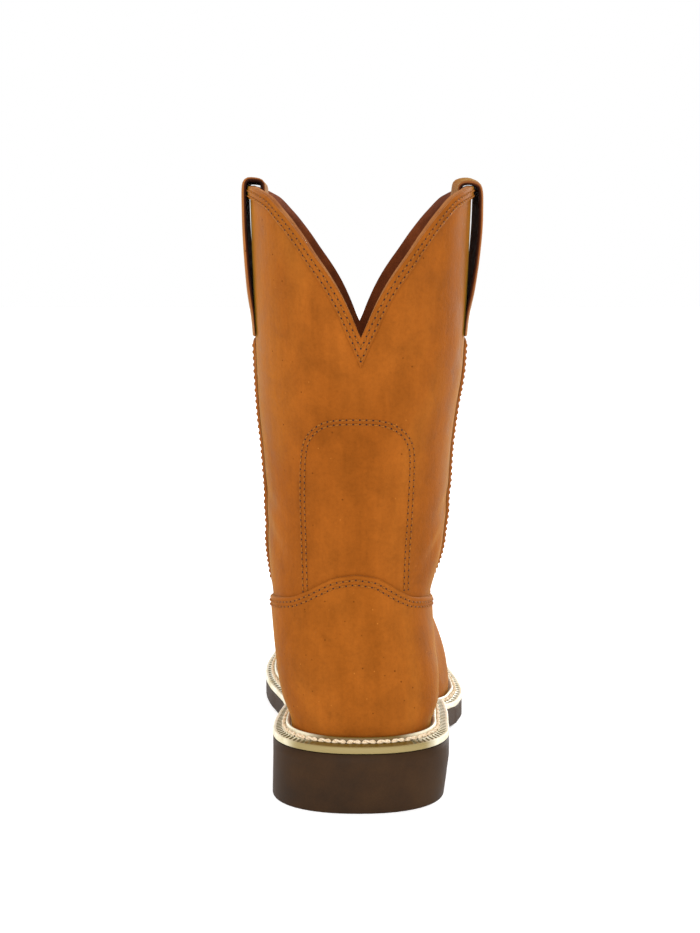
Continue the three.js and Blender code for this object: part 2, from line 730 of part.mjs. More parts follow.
function makeSideSeam(side) {
  const middle = side > 0 ? 0.25 : 0.75;
  const bottom = COUNTER_CORNER_HEIGHT + SEAM_FOOT_GAP;
  const place = (along, up) => {
    const height = lerp(bottom, STRAP_FOOT_HEIGHT - SEAM_TOP_GAP, up);
    const slant = smooth(height, COUNTER_CORNER_HEIGHT, SEAM_UPRIGHT_HEIGHT);
    const corner = side > 0 ? seamTurn(CORNER_LEVEL) : 1 - seamTurn(CORNER_LEVEL);
    const centre = lerp(corner, middle, slant);
    const level = levelAtHeight(centre, height);
    const reach = turnFor(SEAM_WIDTH / 2, centre, level);
    return { turn: centre + (2 * along - 1) * reach, level };
  };
  return overlay(SEAM_WALL, SEAM_ROWS, 2, place);
}

// Pull straps

// How far the shaft's wall lies from the boot's middle plane, by y and height
function wallDistance(y, z, side) {
  const height = Math.min(z, BOOT_HEIGHT);
  return shaftHalfWidth(y, height, side) + side * shaftMiddle(height);
}

// The middle of the shaft from back to front
function shaftCentre(z) {
  const height = Math.min(z, BOOT_HEIGHT);
  return (backLine(height) + shaftFront(height)) / 2;
}

// A strap's ends are thinned to this share of its wall, and reach their full wall this far up
const STRAP_END_WALL = 0.4;
const STRAP_THINNING = 22;

function strapThickness(z) {
  const full = smooth(z, STRAP_FOOT_HEIGHT, STRAP_FOOT_HEIGHT + STRAP_THINNING);
  return STRAP_WALL * lerp(STRAP_END_WALL, 1, full);
}

// The height, as a share of the strap's, from which its edges tilt
const TILT_START = 0.84;

function makeStrap(side) {
  const stance = side > 0 ? STRAP_OUTER : STRAP_INNER;
  const outside = 1.5 * CLEARANCE;
  const inside = UPPER_WALL + 2 * CLEARANCE;
  const lineAt = (across) => {
    const knots = STRAP.map((row) => {
      const tilt = across * stance.tilt * smooth(row.height, TILT_START, 1);
      const z = lerp(STRAP_FOOT_HEIGHT, BOOT_HEIGHT + stance.rise, row.height) + tilt;
      const y = shaftCentre(z) + across * STRAP_WIDTH;
      const rest = (row.side > 0 ? outside : inside) + strapThickness(z) / 2;
      const stand = row.out * (row.side > 0 ? stance.bow : STRAP_FINGER_GAP);
      const twist = -across * stance.twist * Math.max(0, row.out);
      const distance = wallDistance(y, z, side) + row.side * (rest + stand) + twist;
      return new THREE.Vector3(side * distance, y, z);
    });
    return new THREE.CatmullRomCurve3(knots, false, "centripetal");
  };
  const lines = [-0.5, 0, 0.5].map((across) => lineAt(side * across));
  const grid = (direction) =>
    shares(STRAP_STEPS).map((up) =>
      lines.map((line) => {
        const tangent = line.getTangent(up);
        const normal = new THREE.Vector3(tangent.z, 0, -tangent.x).normalize().multiplyScalar(side);
        const point = line.getPoint(up);
        return point.addScaledVector(normal, (direction * strapThickness(point.z)) / 2);
      }),
    );
  return slabGeometry(grid(1), grid(-1), false);
}

// Sole pieces

// A plate between two height functions over the sole's outline, as far as "to" or over the whole
// length. It narrows to a line at each end that lies on the outline, and its bottom may lean inward.
function plateGeometry({ inset, bottomInset = inset, lean = 0, to, bottom, top, steps = STATIONS }) {
  const points = [];
  const index = [];
  const whole = to === undefined;
  const corner = (share, side, low) => {
    const own = low ? bottomInset : inset;
    const y = whole ? stationY(share, own, SOLE_LENGTH - own) : lerp(own, to, share);
    const x = toeSwing(y) + side * soleHalfWidth(y, side, own) - (low ? lean : 0);
    return new THREE.Vector3(x, y, low ? bottom(y) : top(y));
  };
  const closing = whole ? 2 : 1;
  const stations = shares(steps).map((share) => (1 - Math.cos((Math.PI / 2) * closing * share)) / closing);
  const rings = stations.map((share, i) => {
    const pointed = i === 0 || (whole && i === steps);
    const sides = pointed ? [1] : [1, -1];
    return [false, true].map((low) =>
      sides.map((side) => points.push(corner(share, side, low)) - 1),
    );
  });
  const face = (a, b, c) => {
    if (a !== b && b !== c && a !== c) index.push(a, b, c);
  };
  const pick = (ring, low, side) => ring[low][Math.min(side, ring[low].length - 1)];
  const quad = (a, b, c, d) => {
    face(a, b, c);
    face(a, c, d);
  };
  for (let i = 0; i < steps; i += 1) {
    const here = rings[i];
    const next = rings[i + 1];
    quad(pick(here, 0, 0), pick(next, 0, 0), pick(next, 0, 1), pick(here, 0, 1));
    quad(pick(here, 1, 0), pick(here, 1, 1), pick(next, 1, 1), pick(next, 1, 0));
    quad(pick(here, 1, 0), pick(next, 1, 0), pick(next, 0, 0), pick(here, 0, 0));
    quad(pick(here, 0, 1), pick(next, 0, 1), pick(next, 1, 1), pick(here, 1, 1));
  }
  if (!whole) {
    const cap = rings[steps];
    quad(pick(cap, 0, 0), pick(cap, 1, 0), pick(cap, 1, 1), pick(cap, 0, 1));
  }
  return geometryOf(points, index);
}

// The gaps between the upper's wall and the welt's inner edge, and from the wall to the insole
const WELT_INNER_GAP = 0.1;
const INSOLE_GAP = 0.5;

// The welt's section: inset from its edge and height over its edge's top, in order round the section.
// The ledge rises inward to the foot of the lip.
function weltSection(y) {
  const lip = weltMargin(y) - CLEARANCE;
  const inner = featherInset(y) + UPPER_WALL + WELT_INNER_GAP;
  const body = WELT_THICKNESS;
  return [
    { inset: WELT_BEVEL, up: 0 },
    { inset: 0, up: -WELT_BEVEL },
    { inset: 0, up: -body },
    { inset: inner, up: -body },
    { inset: inner, up: 0 },
    { inset: lip, up: 0 },
    { inset: lip - LIP_LEAN, up: WELT_LIP_HEIGHT },
    { inset: lip - WELT_LIP_WIDTH, up: WELT_LIP_HEIGHT - LIP_LEAN / 2 },
    { inset: lip - WELT_LIP_WIDTH, up: WELT_RISE },
  ];
}

function makeWelt() {
  const around = 2 * STATIONS;
  const points = [];
  const index = [];
  const size = weltSection(0).length;
  for (let i = 0; i < around; i += 1) {
    const turn = i / around;
    const edge = solePoint(turn, 0);
    for (const { inset, up } of weltSection(edge.y)) {
      const { x, y } = solePoint(turn, inset);
      points.push(new THREE.Vector3(x, y, weltTop(y) + up));
    }
  }
  for (let i = 0; i < around; i += 1) {
    for (let k = 0; k < size; k += 1) {
      const next = (i + 1) % around;
      const above = (k + 1) % size;
      const a = i * size + k;
      const b = next * size + k;
      const c = next * size + above;
      const d = i * size + above;
      index.push(a, c, b, a, d, c);
    }
  }
  return geometryOf(points, index);
}

function makeInsole() {
  const inset = featherInset(0) + UPPER_WALL + INSOLE_GAP;
  return plateGeometry({
    inset,
    bottom: (y) => outsoleTop(y) + CLEARANCE,
    top: (y) => outsoleTop(y) + CLEARANCE + INSOLE_THICKNESS,
  });
}

// A box as bare corners and faces, from its lowest and highest corners
function boxGeometry(low, high) {
  const points = [];
  for (let i = 0; i < 8; i += 1) {
    points.push(
      new THREE.Vector3(i & 1 ? high.x : low.x, i & 2 ? high.y : low.y, i & 4 ? high.z : low.z),
    );
  }
  const index = [0, 2, 1, 1, 2, 3, 4, 5, 6, 5, 7, 6, 0, 1, 4, 1, 5, 4];
  index.push(2, 6, 3, 3, 6, 7, 0, 4, 2, 2, 4, 6, 1, 3, 5, 3, 7, 5);
  return geometryOf(points, index);
}

// Cross grooves over a stretch of the sole, kept inside its rim
function cutGrooves(solid, from, to, rim, bottom) {
  const core = solidOf(
    plateGeometry({
      inset: rim,
      bottom: (y) => bottom(y) - OUTSOLE_THICKNESS,
      top: (y) => bottom(y) + GROOVE_DEPTH,
    }),
  );
  let cut = solid;
  const count = Math.round((to - from) / GROOVE_PITCH);
  for (let i = 0; i <= count; i += 1) {
    const y = from + (i * (to - from)) / count;
    const low = new THREE.Vector3(-BALL_WIDTH, y - GROOVE_WIDTH / 2, -BALL_WIDTH);
    const high = new THREE.Vector3(BALL_WIDTH, y + GROOVE_WIDTH / 2, BALL_WIDTH);
    cut = cut.subtract(core.intersect(solidOf(boxGeometry(low, high))));
  }
  return cut;
}

function makeOutsole() {
  const plain = plateGeometry({ inset: OUTSOLE_INSET, bottom: treadHeight, top: outsoleTop });
  const from = SHANK_END + GROOVE_PITCH;
  const to = SOLE_LENGTH - 2 * TREAD_MARGIN;
  return geometryFrom(cutGrooves(solidOf(plain), from, to, TREAD_MARGIN, treadHeight));
}

function makeHeel() {
  const block = plateGeometry({
    inset: OUTSOLE_INSET,
    bottomInset: OUTSOLE_INSET + HEEL_TAPER,
    lean: HEEL_LEAN,
    to: HEEL_LENGTH,
    bottom: () => 0,
    top: () => HEEL_BLOCK,
    steps: HEEL_STEPS,
  });
  const half = HEEL_WIDTH / 2;
  const radius = (half * half + BREAST_HOLLOW * BREAST_HOLLOW) / (2 * BREAST_HOLLOW);
  const drum = new THREE.CylinderGeometry(radius, radius, 3 * HEEL_BLOCK, DRUM_SIDES)
    .rotateX(Math.PI / 2)
    .translate(0, HEEL_LENGTH + radius - BREAST_HOLLOW, 0);
  const hollow = solidOf(cleaned(drum));
  const cut = solidOf(block).subtract(hollow);
  const reach = 1.5 * GROOVE_PITCH;
  const middle = HEEL_LENGTH / 2;
  const grooved = cutGrooves(cut, middle - reach, middle + reach, TREAD_MARGIN, () => 0);
  return geometryFrom(grooved);
}

// A library geometry with only its positions, its shared corners merged
function cleaned(geometry) {
  const positions = geometry.getAttribute("position");
  const seen = new Map();
  const points = [];
  const map = [];
  for (let i = 0; i < positions.count; i += 1) {
    const point = new THREE.Vector3().fromBufferAttribute(positions, i);
    const key = point.toArray().map((value) => Math.round(value / MERGE_WITHIN)).join(" ");
    if (!seen.has(key)) seen.set(key, points.push(point) - 1);
    map.push(seen.get(key));
  }
  const index = [];
  const faces = geometry.getIndex().array;
  for (let i = 0; i < faces.length; i += 3) {
    const [a, b, c] = [map[faces[i]], map[faces[i + 1]], map[faces[i + 2]]];
    if (a !== b && b !== c && a !== c) index.push(a, b, c);
  }
  return geometryOf(points, index);
}

// The boot

const leather = { color: 0xb0662a, roughness: 0.62, metalness: 0 };
const welting = { color: 0xd9cba6, roughness: 0.6, metalness: 0 };
const rubber = { color: 0x4a3526, roughness: 0.75, metalness: 0 };
const footbed = { color: 0x7d5433, roughness: 0.85, metalness: 0 };
const strapping = { color: 0x8a4a26, roughness: 0.7, metalness: 0 };

const boot = new THREE.Group();
boot.position.set(0, -HEEL_LENGTH / 2, 0);

function add(name, geometry, finish) {
  const flat = geometry.toNonIndexed();
  flat.computeVertexNormals();
  const mesh = new THREE.Mesh(flat, new THREE.MeshStandardMaterial(finish));
  mesh.name = name;
  boot.add(mesh);
}

add("upper", makeUpper(), leather);
add("vamp", makeVamp(), leather);
add("heel_counter", makeCounter(), leather);
add("collar_binding", makeBinding(), leather);
add("side_seam_lateral", makeSideSeam(1), leather);
add("side_seam_medial", makeSideSeam(-1), leather);
add("pull_strap_lateral", makeStrap(1), strapping);
add("pull_strap_medial", makeStrap(-1), strapping);
add("welt", makeWelt(), welting);
add("insole", makeInsole(), footbed);
add("outsole", makeOutsole(), rubber);
add("heel", makeHeel(), rubber);

export default boot;
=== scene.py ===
import math

import bpy
import mathutils
import numpy as np
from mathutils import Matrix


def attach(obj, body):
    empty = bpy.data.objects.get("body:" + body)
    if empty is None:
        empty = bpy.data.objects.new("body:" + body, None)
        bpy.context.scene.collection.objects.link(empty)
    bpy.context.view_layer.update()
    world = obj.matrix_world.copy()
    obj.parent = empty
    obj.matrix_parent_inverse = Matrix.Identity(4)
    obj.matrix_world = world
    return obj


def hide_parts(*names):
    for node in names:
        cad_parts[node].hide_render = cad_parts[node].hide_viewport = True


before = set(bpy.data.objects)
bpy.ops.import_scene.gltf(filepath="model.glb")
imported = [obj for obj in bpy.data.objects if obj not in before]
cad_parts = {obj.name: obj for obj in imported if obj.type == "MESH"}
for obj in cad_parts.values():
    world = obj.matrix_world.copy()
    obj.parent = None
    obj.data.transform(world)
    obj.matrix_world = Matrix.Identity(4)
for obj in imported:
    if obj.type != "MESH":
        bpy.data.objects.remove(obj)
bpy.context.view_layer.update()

# Sole
SOLE_LENGTH = 298.0
BALL_WIDTH = 106.0
HEEL_WIDTH = 80.0
HEEL_LENGTH = 70.0
HEEL_BLOCK = 18.0
HEEL_TAPER = 0.9
HEEL_LEAN = 1.3
BREAST_HOLLOW = 3.5
OUTSOLE_THICKNESS = 9.0
OUTSOLE_INSET = 0.4
TOE_SPRING = 10.0
TOE_SWING = 5.0
WELT_THICKNESS = 2.9
WELT_LIP_HEIGHT = 2.8
WELT_LIP_WIDTH = 2.5
LIP_LEAN = 1.3
WELT_RISE = 0.8
TOE_START = 0.68 * SOLE_LENGTH
TOE_POWER = 2.25
TOE_BULGE = 2.6
TOE_BULGE_RISE = 12.0
SWING_START = 0.64
HEEL_ROUNDING = 0.12 * SOLE_LENGTH
HEEL_POWER = 2.25

# Upper
BOOT_HEIGHT = 273.4
SCALLOP_DROP = 65.0
SHAFT_WIDTH = 101.0
SHAFT_DEPTH = 135.0
INSTEP_RISE = 95.0
UPPER_WALL = 2.2
OVERLAY_WALL = 1.3
HEEL_MARGIN = 8.4
FOREPART_MARGIN = 7.4
BINDING_WIDTH = 5.6
BINDING_WALL = 0.8
SEAM_WIDTH = 11.0
SEAM_WALL = 0.9
COUNTER_HEIGHT = 104.0
COUNTER_CORNER_HEIGHT = 83.0
COUNTER_CORNER_ALONG = 82.0
COUNTER_FRONT_ALONG = 140.0
TONGUE_HEIGHT = 146.0
PANEL_GAP = 0.7
CREST_ROUNDING = 3.0
SHAFT_SLOPE = 8.0
PLAIN_LEVEL = 0.76
CLEARANCE = 0.3
FEATHER_BLEND = 14.0
BODY_SWELL = 26.0
CROWN_ROOT = 1.9
SHAFT_POWER = 2.15
SHAFT_MIDDLE_SHARE = 0.4
SEAM_UPRIGHT_HEIGHT = 130.0
SEAM_ABOVE_CORNER = 7.0
SEAM_BELOW_STRAP = 2.0

# Where the foot's sections pass into the shaft's: a line along that rises forward
FOOT_LINE_START = 0.335 * SOLE_LENGTH
FOOT_LINE_SLOPE = 0.64
FOOT_LINE_HEIGHT = 50.0
FOOT_BLEND = 0.13 * SOLE_LENGTH

# Steps over which slopes are measured, and rounds in which places are found by halving
SLOPE_STEP = 0.004
SMALL_TURN = 0.002
HALVINGS = 26
CORNER_ROUNDS = 20

# Round the front's middle, within this share of a turn, slopes are measured over more steps
FRONT_TURNS = 0.04
FRONT_STEPS = 5

# Within this much of the feather edge and the collar the normal is laid nearly level
EDGE_LEVELS = 0.02
EDGE_FLATNESS = 0.2

# Pull straps
STRAP_WIDTH = 30.0
STRAP_WALL = 2.1
STRAP_FOOT_HEIGHT = 206.0
STRAP_FINGER_GAP = 2.2

# How each strap stands, by side: 1 outer, -1 inner. Its bow out from the wall, its rise over the
# collar, and how much further out (twist) and lower (tilt) its back edge lies than its front edge
STRAP_STANCE = {
    1: {"bow": 2.65, "rise": 1.95, "twist": 1.6, "tilt": 2.0},
    -1: {"bow": 1.5, "rise": 2.1, "twist": 0.2, "tilt": -1.4},
}

# Stitching
STITCH_PITCH = 2.9
STITCH_RADIUS = 0.44
HOLE_RADIUS = 0.52
LOCKSTITCH_PITCH = 6.6
LOCKSTITCH_RADIUS = 0.95
LOCKSTITCH_INSET = 5.0
LOCKSTITCH_GAP = 0.7
STITCH_GAP = 0.75
STITCH_HUMP = 0.7
STITCH_FLATNESS = 0.8
STITCH_SUNK = 0.05
HOLE_RISE = 0.28
HEEL_RIB_PITCH = 2.6
FOREPART_RIB_PITCH = 4.2
RIB_DEPTH = 0.55

# Distances of the two rows of stitches from an edge or outline
COLLAR_ROWS = (1.9, 4.3)
COUNTER_ROWS = (2.2, 4.3)
VAMP_ROWS = (2.2, 4.3)
BACK_PANEL_ROWS = (0.0, 1.9)

# Camera, fitted to the photograph
CAMERA_BEHIND = 800.0
CAMERA_SIDE = -5.0
CAMERA_HEIGHT = 265.4
CAMERA_PITCH = 7.92
CAMERA_LENS = 73.0
SENSOR_HEIGHT = 36.0

METRE = 1000.0
ORIGIN_ALONG = HEEL_LENGTH / 2


# Tables, as in the solids: shares of the sizes above

OUTLINE = {
    "at": [0.0, 0.13, 0.2, 0.3, 0.38, 0.45, 0.51, 0.56, 0.62, 0.68, 0.76, 1.0],
    "inner": [1.0, 1.0, 0.957, 0.79, 0.7, 0.7, 0.743, 0.815, 0.903, 0.955, 0.98, 0.98],
    "outer": [1.0, 1.003, 1.018, 0.923, 0.848, 0.871, 0.965, 1.017, 1.005, 0.968, 0.92, 0.88],
}

SHAFT = {
    "height": [0.0, 0.04, 0.09, 0.15, 0.22, 0.3, 0.37, 0.44, 0.51, 0.58, 0.66, 0.74, 0.87, 1.0],
    "back": [0.066, 0.058, 0.056, 0.066, 0.09, 0.112, 0.115, 0.108, 0.094, 0.079, 0.064, 0.051,
             0.038, 0.03],
    "front": [1.8, 1.7, 1.5, 1.35, 1.17, 1.03, 0.945, 0.912, 0.905, 0.912, 0.929, 0.953,
              0.992, 1.03],
    "inner": [0.605, 0.655, 0.712, 0.752, 0.79, 0.84, 0.862, 0.877, 0.9, 0.932, 0.95, 0.962,
              0.982, 1.0],
    "outer": [0.61, 0.665, 0.67, 0.638, 0.622, 0.722, 0.785, 0.81, 0.83, 0.868, 0.925, 0.945,
              0.972, 0.995],
    "round": [0.23, 0.24, 0.26, 0.29, 0.33, 0.38, 0.42, 0.44, 0.45, 0.46, 0.47, 0.48, 0.486, 0.5],
}

BODY = {
    "at": [0.0, 0.2, 0.33, 0.43, 0.5, 0.56, 0.63, 0.73, 1.0],
    "inner": [0.72, 0.72, 0.7, 0.715, 0.74, 0.775, 0.8, 0.815, 0.815],
    "outer": [0.66, 0.65, 0.65, 0.69, 0.79, 0.875, 0.875, 0.85, 0.835],
}

RIDGE = {
    "along": [0.969, 0.973, 0.965, 0.945, 0.905, 0.852, 0.79, 0.726, 0.662, 0.602, 0.548, 0.504,
              0.47],
    "rise": [0.0, 0.13, 0.24, 0.32, 0.385, 0.434, 0.487, 0.548, 0.622, 0.708, 0.8, 0.895, 1.0],
    "heel": [0.0, 0.012, 0.025, 0.037, 0.052, 0.069, 0.09, 0.112, 0.135, 0.16, 0.185, 0.213,
             0.243],
}

SHAFT_LOOPS = {
    "front": [0.365, 0.42, 0.49, 0.565, 0.645],
    "heel": [0.277, 0.32, 0.385, 0.475, 0.575],
}

COLLAR = {
    "around": [0.0, 0.2, 0.42, 0.56, 0.67, 0.76, 0.84, 0.9, 0.95, 1.0],
    "drop": [0.0, 0.012, 0.07, 0.185, 0.32, 0.46, 0.59, 0.71, 0.84, 1.0],
}

COUNTER_TOP = {
    "around": [0.0, 0.12, 0.22, 0.33, 0.42, 0.52, 0.75, 1.0],
    "height": [1.0, 0.93, 0.775, 0.57, 0.435, 0.36, 0.22, 0.0],
}

VAMP_TOP = {
    "around": [0.0, 0.25, 0.5, 0.72, 0.88, 1.0],
    "height": [0.0, 0.06, 0.27, 0.7, 0.95, 1.0],
}

STRAP = {
    "height": [0.0, 0.14, 0.3, 0.48, 0.68, 0.84, 0.94, 0.985, 1.0, 0.985, 0.93, 0.82, 0.66, 0.46,
               0.25, 0.08],
    "out": [0.0, 0.03, 0.38, 0.77, 1.0, 0.96, 0.82, 0.4, -1.05, 0.6, 0.95, 1.0, 0.8, 0.4, 0.08, 0.0],
    "side": [1, 1, 1, 1, 1, 1, 1, 1, 1, -1, -1, -1, -1, -1, -1, -1],
}


# Small maths

def lerp(a, b, share):
    return a + (b - a) * share


def smooth(value, start, end):
    share = np.clip((value - start) / (end - start), 0.0, 1.0)
    return share * share * (3.0 - 2.0 * share)


def rounding(distance, reach, power):
    rest = 1.0 - np.clip(distance / reach, 0.0, 1.0)
    return (1.0 - rest**power) ** (1.0 / power)


def column(table, key, name):
    """A smooth reading of one column of a table, without overshoot between rows."""
    xs = np.array(table[key], dtype=float)
    ys = np.array(table[name], dtype=float)
    slopes = np.diff(ys) / np.diff(xs)
    tangents = np.empty_like(xs)
    tangents[0] = slopes[0]
    tangents[-1] = slopes[-1]
    product = slopes[:-1] * slopes[1:]
    total = slopes[:-1] + slopes[1:]
    safe = np.where(total == 0.0, 1.0, total)
    tangents[1:-1] = np.where(product <= 0.0, 0.0, 2.0 * product / safe)

    def reading(value):
        at = np.clip(value, xs[0], xs[-1])
        row = np.clip(np.searchsorted(xs, at, side="left") - 1, 0, len(xs) - 2)
        span = xs[row + 1] - xs[row]
        s = (at - xs[row]) / span
        start = ys[row] * (1 + 2 * s) * (1 - s) ** 2
        end = ys[row + 1] * s * s * (3 - 2 * s)
        bends = tangents[row] * s * (1 - s) ** 2 - tangents[row + 1] * s * s * (1 - s)
        return start + end + bends * span

    return reading


outline_of = {1: column(OUTLINE, "at", "outer"), -1: column(OUTLINE, "at", "inner")}
body_of = {1: column(BODY, "at", "outer"), -1: column(BODY, "at", "inner")}
shaft_of = {name: column(SHAFT, "height", name) for name in SHAFT if name != "height"}
collar_drop = column(COLLAR, "around", "drop")
counter_top = column(COUNTER_TOP, "around", "height")
vamp_top = column(VAMP_TOP, "around", "height")


def by_side(side, outer, inner):
    return np.where(side > 0, outer, inner)


# The sole's heights and outline

STATIONS = 24
OUTLINE_STEPS = 6001


def station_share(station):
    return (1 - np.cos(np.pi * station / STATIONS)) / 2


def shank_start():
    station = 0
    while SOLE_LENGTH * station_share(station) < HEEL_LENGTH + CLEARANCE:
        station += 1
    return SOLE_LENGTH * station_share(station)


SHANK_START = shank_start()
SHANK_END = 0.5 * SOLE_LENGTH
SPRING_START = 0.69 * SOLE_LENGTH
WAIST_START = 0.2 * SOLE_LENGTH
WAIST_END = 0.5 * SOLE_LENGTH


def tread_height(y):
    shank = HEEL_BLOCK * (1 - smooth(y, SHANK_START, SHANK_END))
    past = np.clip((y - SPRING_START) / (SOLE_LENGTH - SPRING_START), 0, 1.1)
    return shank + TOE_SPRING * past * past


def outsole_top(y):
    return tread_height(y) + OUTSOLE_THICKNESS


def welt_top(y):
    return outsole_top(y) + CLEARANCE + WELT_THICKNESS


def feather_height(y):
    return welt_top(y) + CLEARANCE


HEEL_SEAT = float(feather_height(0.0))
SHAFT_RISE = BOOT_HEIGHT - HEEL_SEAT


def toe_swing(y):
    past = np.clip((y / SOLE_LENGTH - SWING_START) / 0.36, 0, 1)
    return -TOE_SWING * past * past


def sole_half_width(y, side, inset):
    share = by_side(side, outline_of[1](y / SOLE_LENGTH), outline_of[-1](y / SOLE_LENGTH))
    base = share * lerp(HEEL_WIDTH / 2, BALL_WIDTH / 2, smooth(y, WAIST_START, WAIST_END))
    heel = rounding(y - inset, HEEL_ROUNDING - inset * 0.8, HEEL_POWER)
    end = SOLE_LENGTH - inset
    past = np.clip((y - TOE_START) / (end - TOE_START), 0, 1)
    toe = (1 - past**TOE_POWER) ** (1 / TOE_POWER)
    return (base - inset - side * toe_swing(y)) * heel * toe


def station_y(share, start, end):
    back = start * (1 - smooth(share, 0, 0.24))
    front = (SOLE_LENGTH - end) * smooth(share, 0.76, 1)
    return SOLE_LENGTH * share + back - front


def turn_side(turn):
    return np.where(np.mod(turn, 1.0) <= 0.5, 1.0, -1.0)


def turn_share(turn):
    return (1 - np.cos(2 * np.pi * turn)) / 2


def sole_point(turn, inset):
    side = turn_side(turn)
    y = station_y(turn_share(turn), inset, SOLE_LENGTH - inset)
    return toe_swing(y) + side * sole_half_width(y, side, inset), y


def welt_margin(y):
    return lerp(HEEL_MARGIN, FOREPART_MARGIN, smooth(y, WAIST_START, WAIST_END))


def feather_inset(y):
    return welt_margin(y) + CLEARANCE + OVERLAY_WALL


# The upper's face, by the same function as the solids

def share_of(z):
    return np.clip((z - HEEL_SEAT) / SHAFT_RISE, 0, 1)


def height_at(share):
    return HEEL_SEAT + np.asarray(share) * SHAFT_RISE


def back_line(z):
    return SHAFT_DEPTH * shaft_of["back"](share_of(z))


def shaft_front(z):
    return SHAFT_DEPTH * shaft_of["front"](share_of(z))


def front_line():
    ridge_y = np.array(RIDGE["along"]) * SOLE_LENGTH
    ridge_z = feather_height(ridge_y) + np.array(RIDGE["rise"]) * INSTEP_RISE
    shaft_z = height_at(SHAFT_LOOPS["front"])
    y = np.concatenate([ridge_y, shaft_front(shaft_z)])
    z = np.concatenate([ridge_z, shaft_z])
    heel = height_at(RIDGE["heel"] + SHAFT_LOOPS["heel"])
    return {"loop": np.arange(len(y), dtype=float), "y": y, "z": z, "heel": heel}


FRONT = front_line()
LAST_LOOP = len(FRONT["loop"]) - 1
front_of = {name: column(FRONT, "loop", name) for name in ("y", "z", "heel")}
RIDGE_LOOPS = np.linspace(len(RIDGE["along"]) + 1, 1, 8 * len(RIDGE["along"]) + 1)
RIDGE_HEIGHTS = {"y": front_of["y"](RIDGE_LOOPS), "z": front_of["z"](RIDGE_LOOPS)}
ridge_reading = column(RIDGE_HEIGHTS, "y", "z")


def ridge_height(y):
    first_y = RIDGE_HEIGHTS["y"][0]
    first_z = RIDGE_HEIGHTS["z"][0]
    return np.where(y < first_y, first_z + SHAFT_SLOPE * (first_y - y), ridge_reading(y))


# How late the foot's cross section starts to close, by side
CROWN_POWER = {"outer": 1.6, "inner": 2.3}


def foot_half_width(y, z, side):
    inset = feather_inset(y)
    above = z - feather_height(y)
    bulge = TOE_BULGE * smooth(above, 0, TOE_BULGE_RISE) * smooth(y / SOLE_LENGTH, 0.75, 0.95)
    feather = sole_half_width(np.clip(y - bulge, inset, SOLE_LENGTH - inset), side, inset)
    share = by_side(side, body_of[1](y / SOLE_LENGTH), body_of[-1](y / SOLE_LENGTH))
    wide = BALL_WIDTH / 2 * share - side * toe_swing(y)
    body = lerp(wide, feather + 0.8, smooth(y / SOLE_LENGTH, 0.52, 0.66))
    half = lerp(feather, body, smooth(above, -4, BODY_SWELL))
    rise = np.clip(above / (ridge_height(y) - feather_height(y)), 0, 1)
    return half * (1 - rise ** by_side(side, CROWN_POWER["outer"], CROWN_POWER["inner"])) ** (1 / CROWN_ROOT)


def shaft_middle(z):
    share = share_of(z)
    return SHAFT_MIDDLE_SHARE * (SHAFT_WIDTH / 2) * (shaft_of["outer"](share) - shaft_of["inner"](share))


def shaft_half_width(y, z, side):
    share = share_of(z)
    half = SHAFT_WIDTH / 2 * by_side(side, shaft_of["outer"](share), shaft_of["inner"](share))
    reach = SHAFT_DEPTH * shaft_of["round"](share)
    back = rounding(y - back_line(z), reach, SHAFT_POWER)
    front = rounding(shaft_front(z) - y, 0.5 * SHAFT_DEPTH, SHAFT_POWER)
    return (half - side * shaft_middle(z)) * back * front


def foot_share(y, z):
    line = FOOT_LINE_START + FOOT_LINE_SLOPE * (z - FOOT_LINE_HEIGHT)
    return smooth((y - line) / FOOT_BLEND, -1, 1)


def feather_x(share, side):
    end = SOLE_LENGTH - feather_inset(SOLE_LENGTH)
    y = station_y(share, feather_inset(0.0), end)
    return toe_swing(y) + side * sole_half_width(y, side, feather_inset(y))


def face_point(turn, level):
    """Points of the upper's outer face as an array of x, y, z."""
    turn, level = np.broadcast_arrays(np.asarray(turn, float), np.asarray(level, float))
    wrapped = np.mod(turn, 1.0)
    side = turn_side(turn)
    share = turn_share(wrapped)
    loop = LAST_LOOP * np.minimum(1, level / PLAIN_LEVEL)
    front_y = front_of["y"](loop)
    front_z = front_of["z"](loop)
    heel_z = front_of["heel"](loop)
    end = SOLE_LENGTH - feather_inset(SOLE_LENGTH)
    settled = smooth(loop, 0, 3)
    plain = lerp(back_line(heel_z), front_y, share)
    y = lerp(station_y(share, feather_inset(0.0), end), plain, settled)
    feather = feather_height(y) + (heel_z - HEEL_SEAT) * (1 - share)
    lift = (front_z - feather_height(front_y)) * share**3
    hugs = 1 - smooth(loop, 0, 5.5)
    z = lerp(lerp(heel_z, front_z, share), feather + lift, hugs)
    low_y = y
    around = np.abs(1 - 4 * np.where(wrapped <= 0.5, wrapped, 1 - wrapped))
    top = BOOT_HEIGHT - SCALLOP_DROP * collar_drop(around)
    upper = level > PLAIN_LEVEL
    collar_z = lerp(z, top, (level - PLAIN_LEVEL) / (1 - PLAIN_LEVEL))
    z = np.where(upper, collar_z, z)
    y = np.where(upper, lerp(back_line(z), shaft_front(z), share), y)
    foot = foot_share(y, z)
    middle = lerp(shaft_middle(z), toe_swing(y), foot)
    closing = rounding(lerp(end, front_y, settled) - low_y, CREST_ROUNDING, 2)
    half = lerp(shaft_half_width(y, z, side), closing * foot_half_width(y, z, side), foot)
    grown = smooth(z - feather_height(y), 0, FEATHER_BLEND)
    x = lerp(feather_x(share, side), middle + side * half, grown)
    return np.stack([x, y, z], axis=-1)


def unit(vectors):
    length = np.linalg.norm(vectors, axis=-1, keepdims=True)
    return vectors / np.where(length == 0, 1, length)


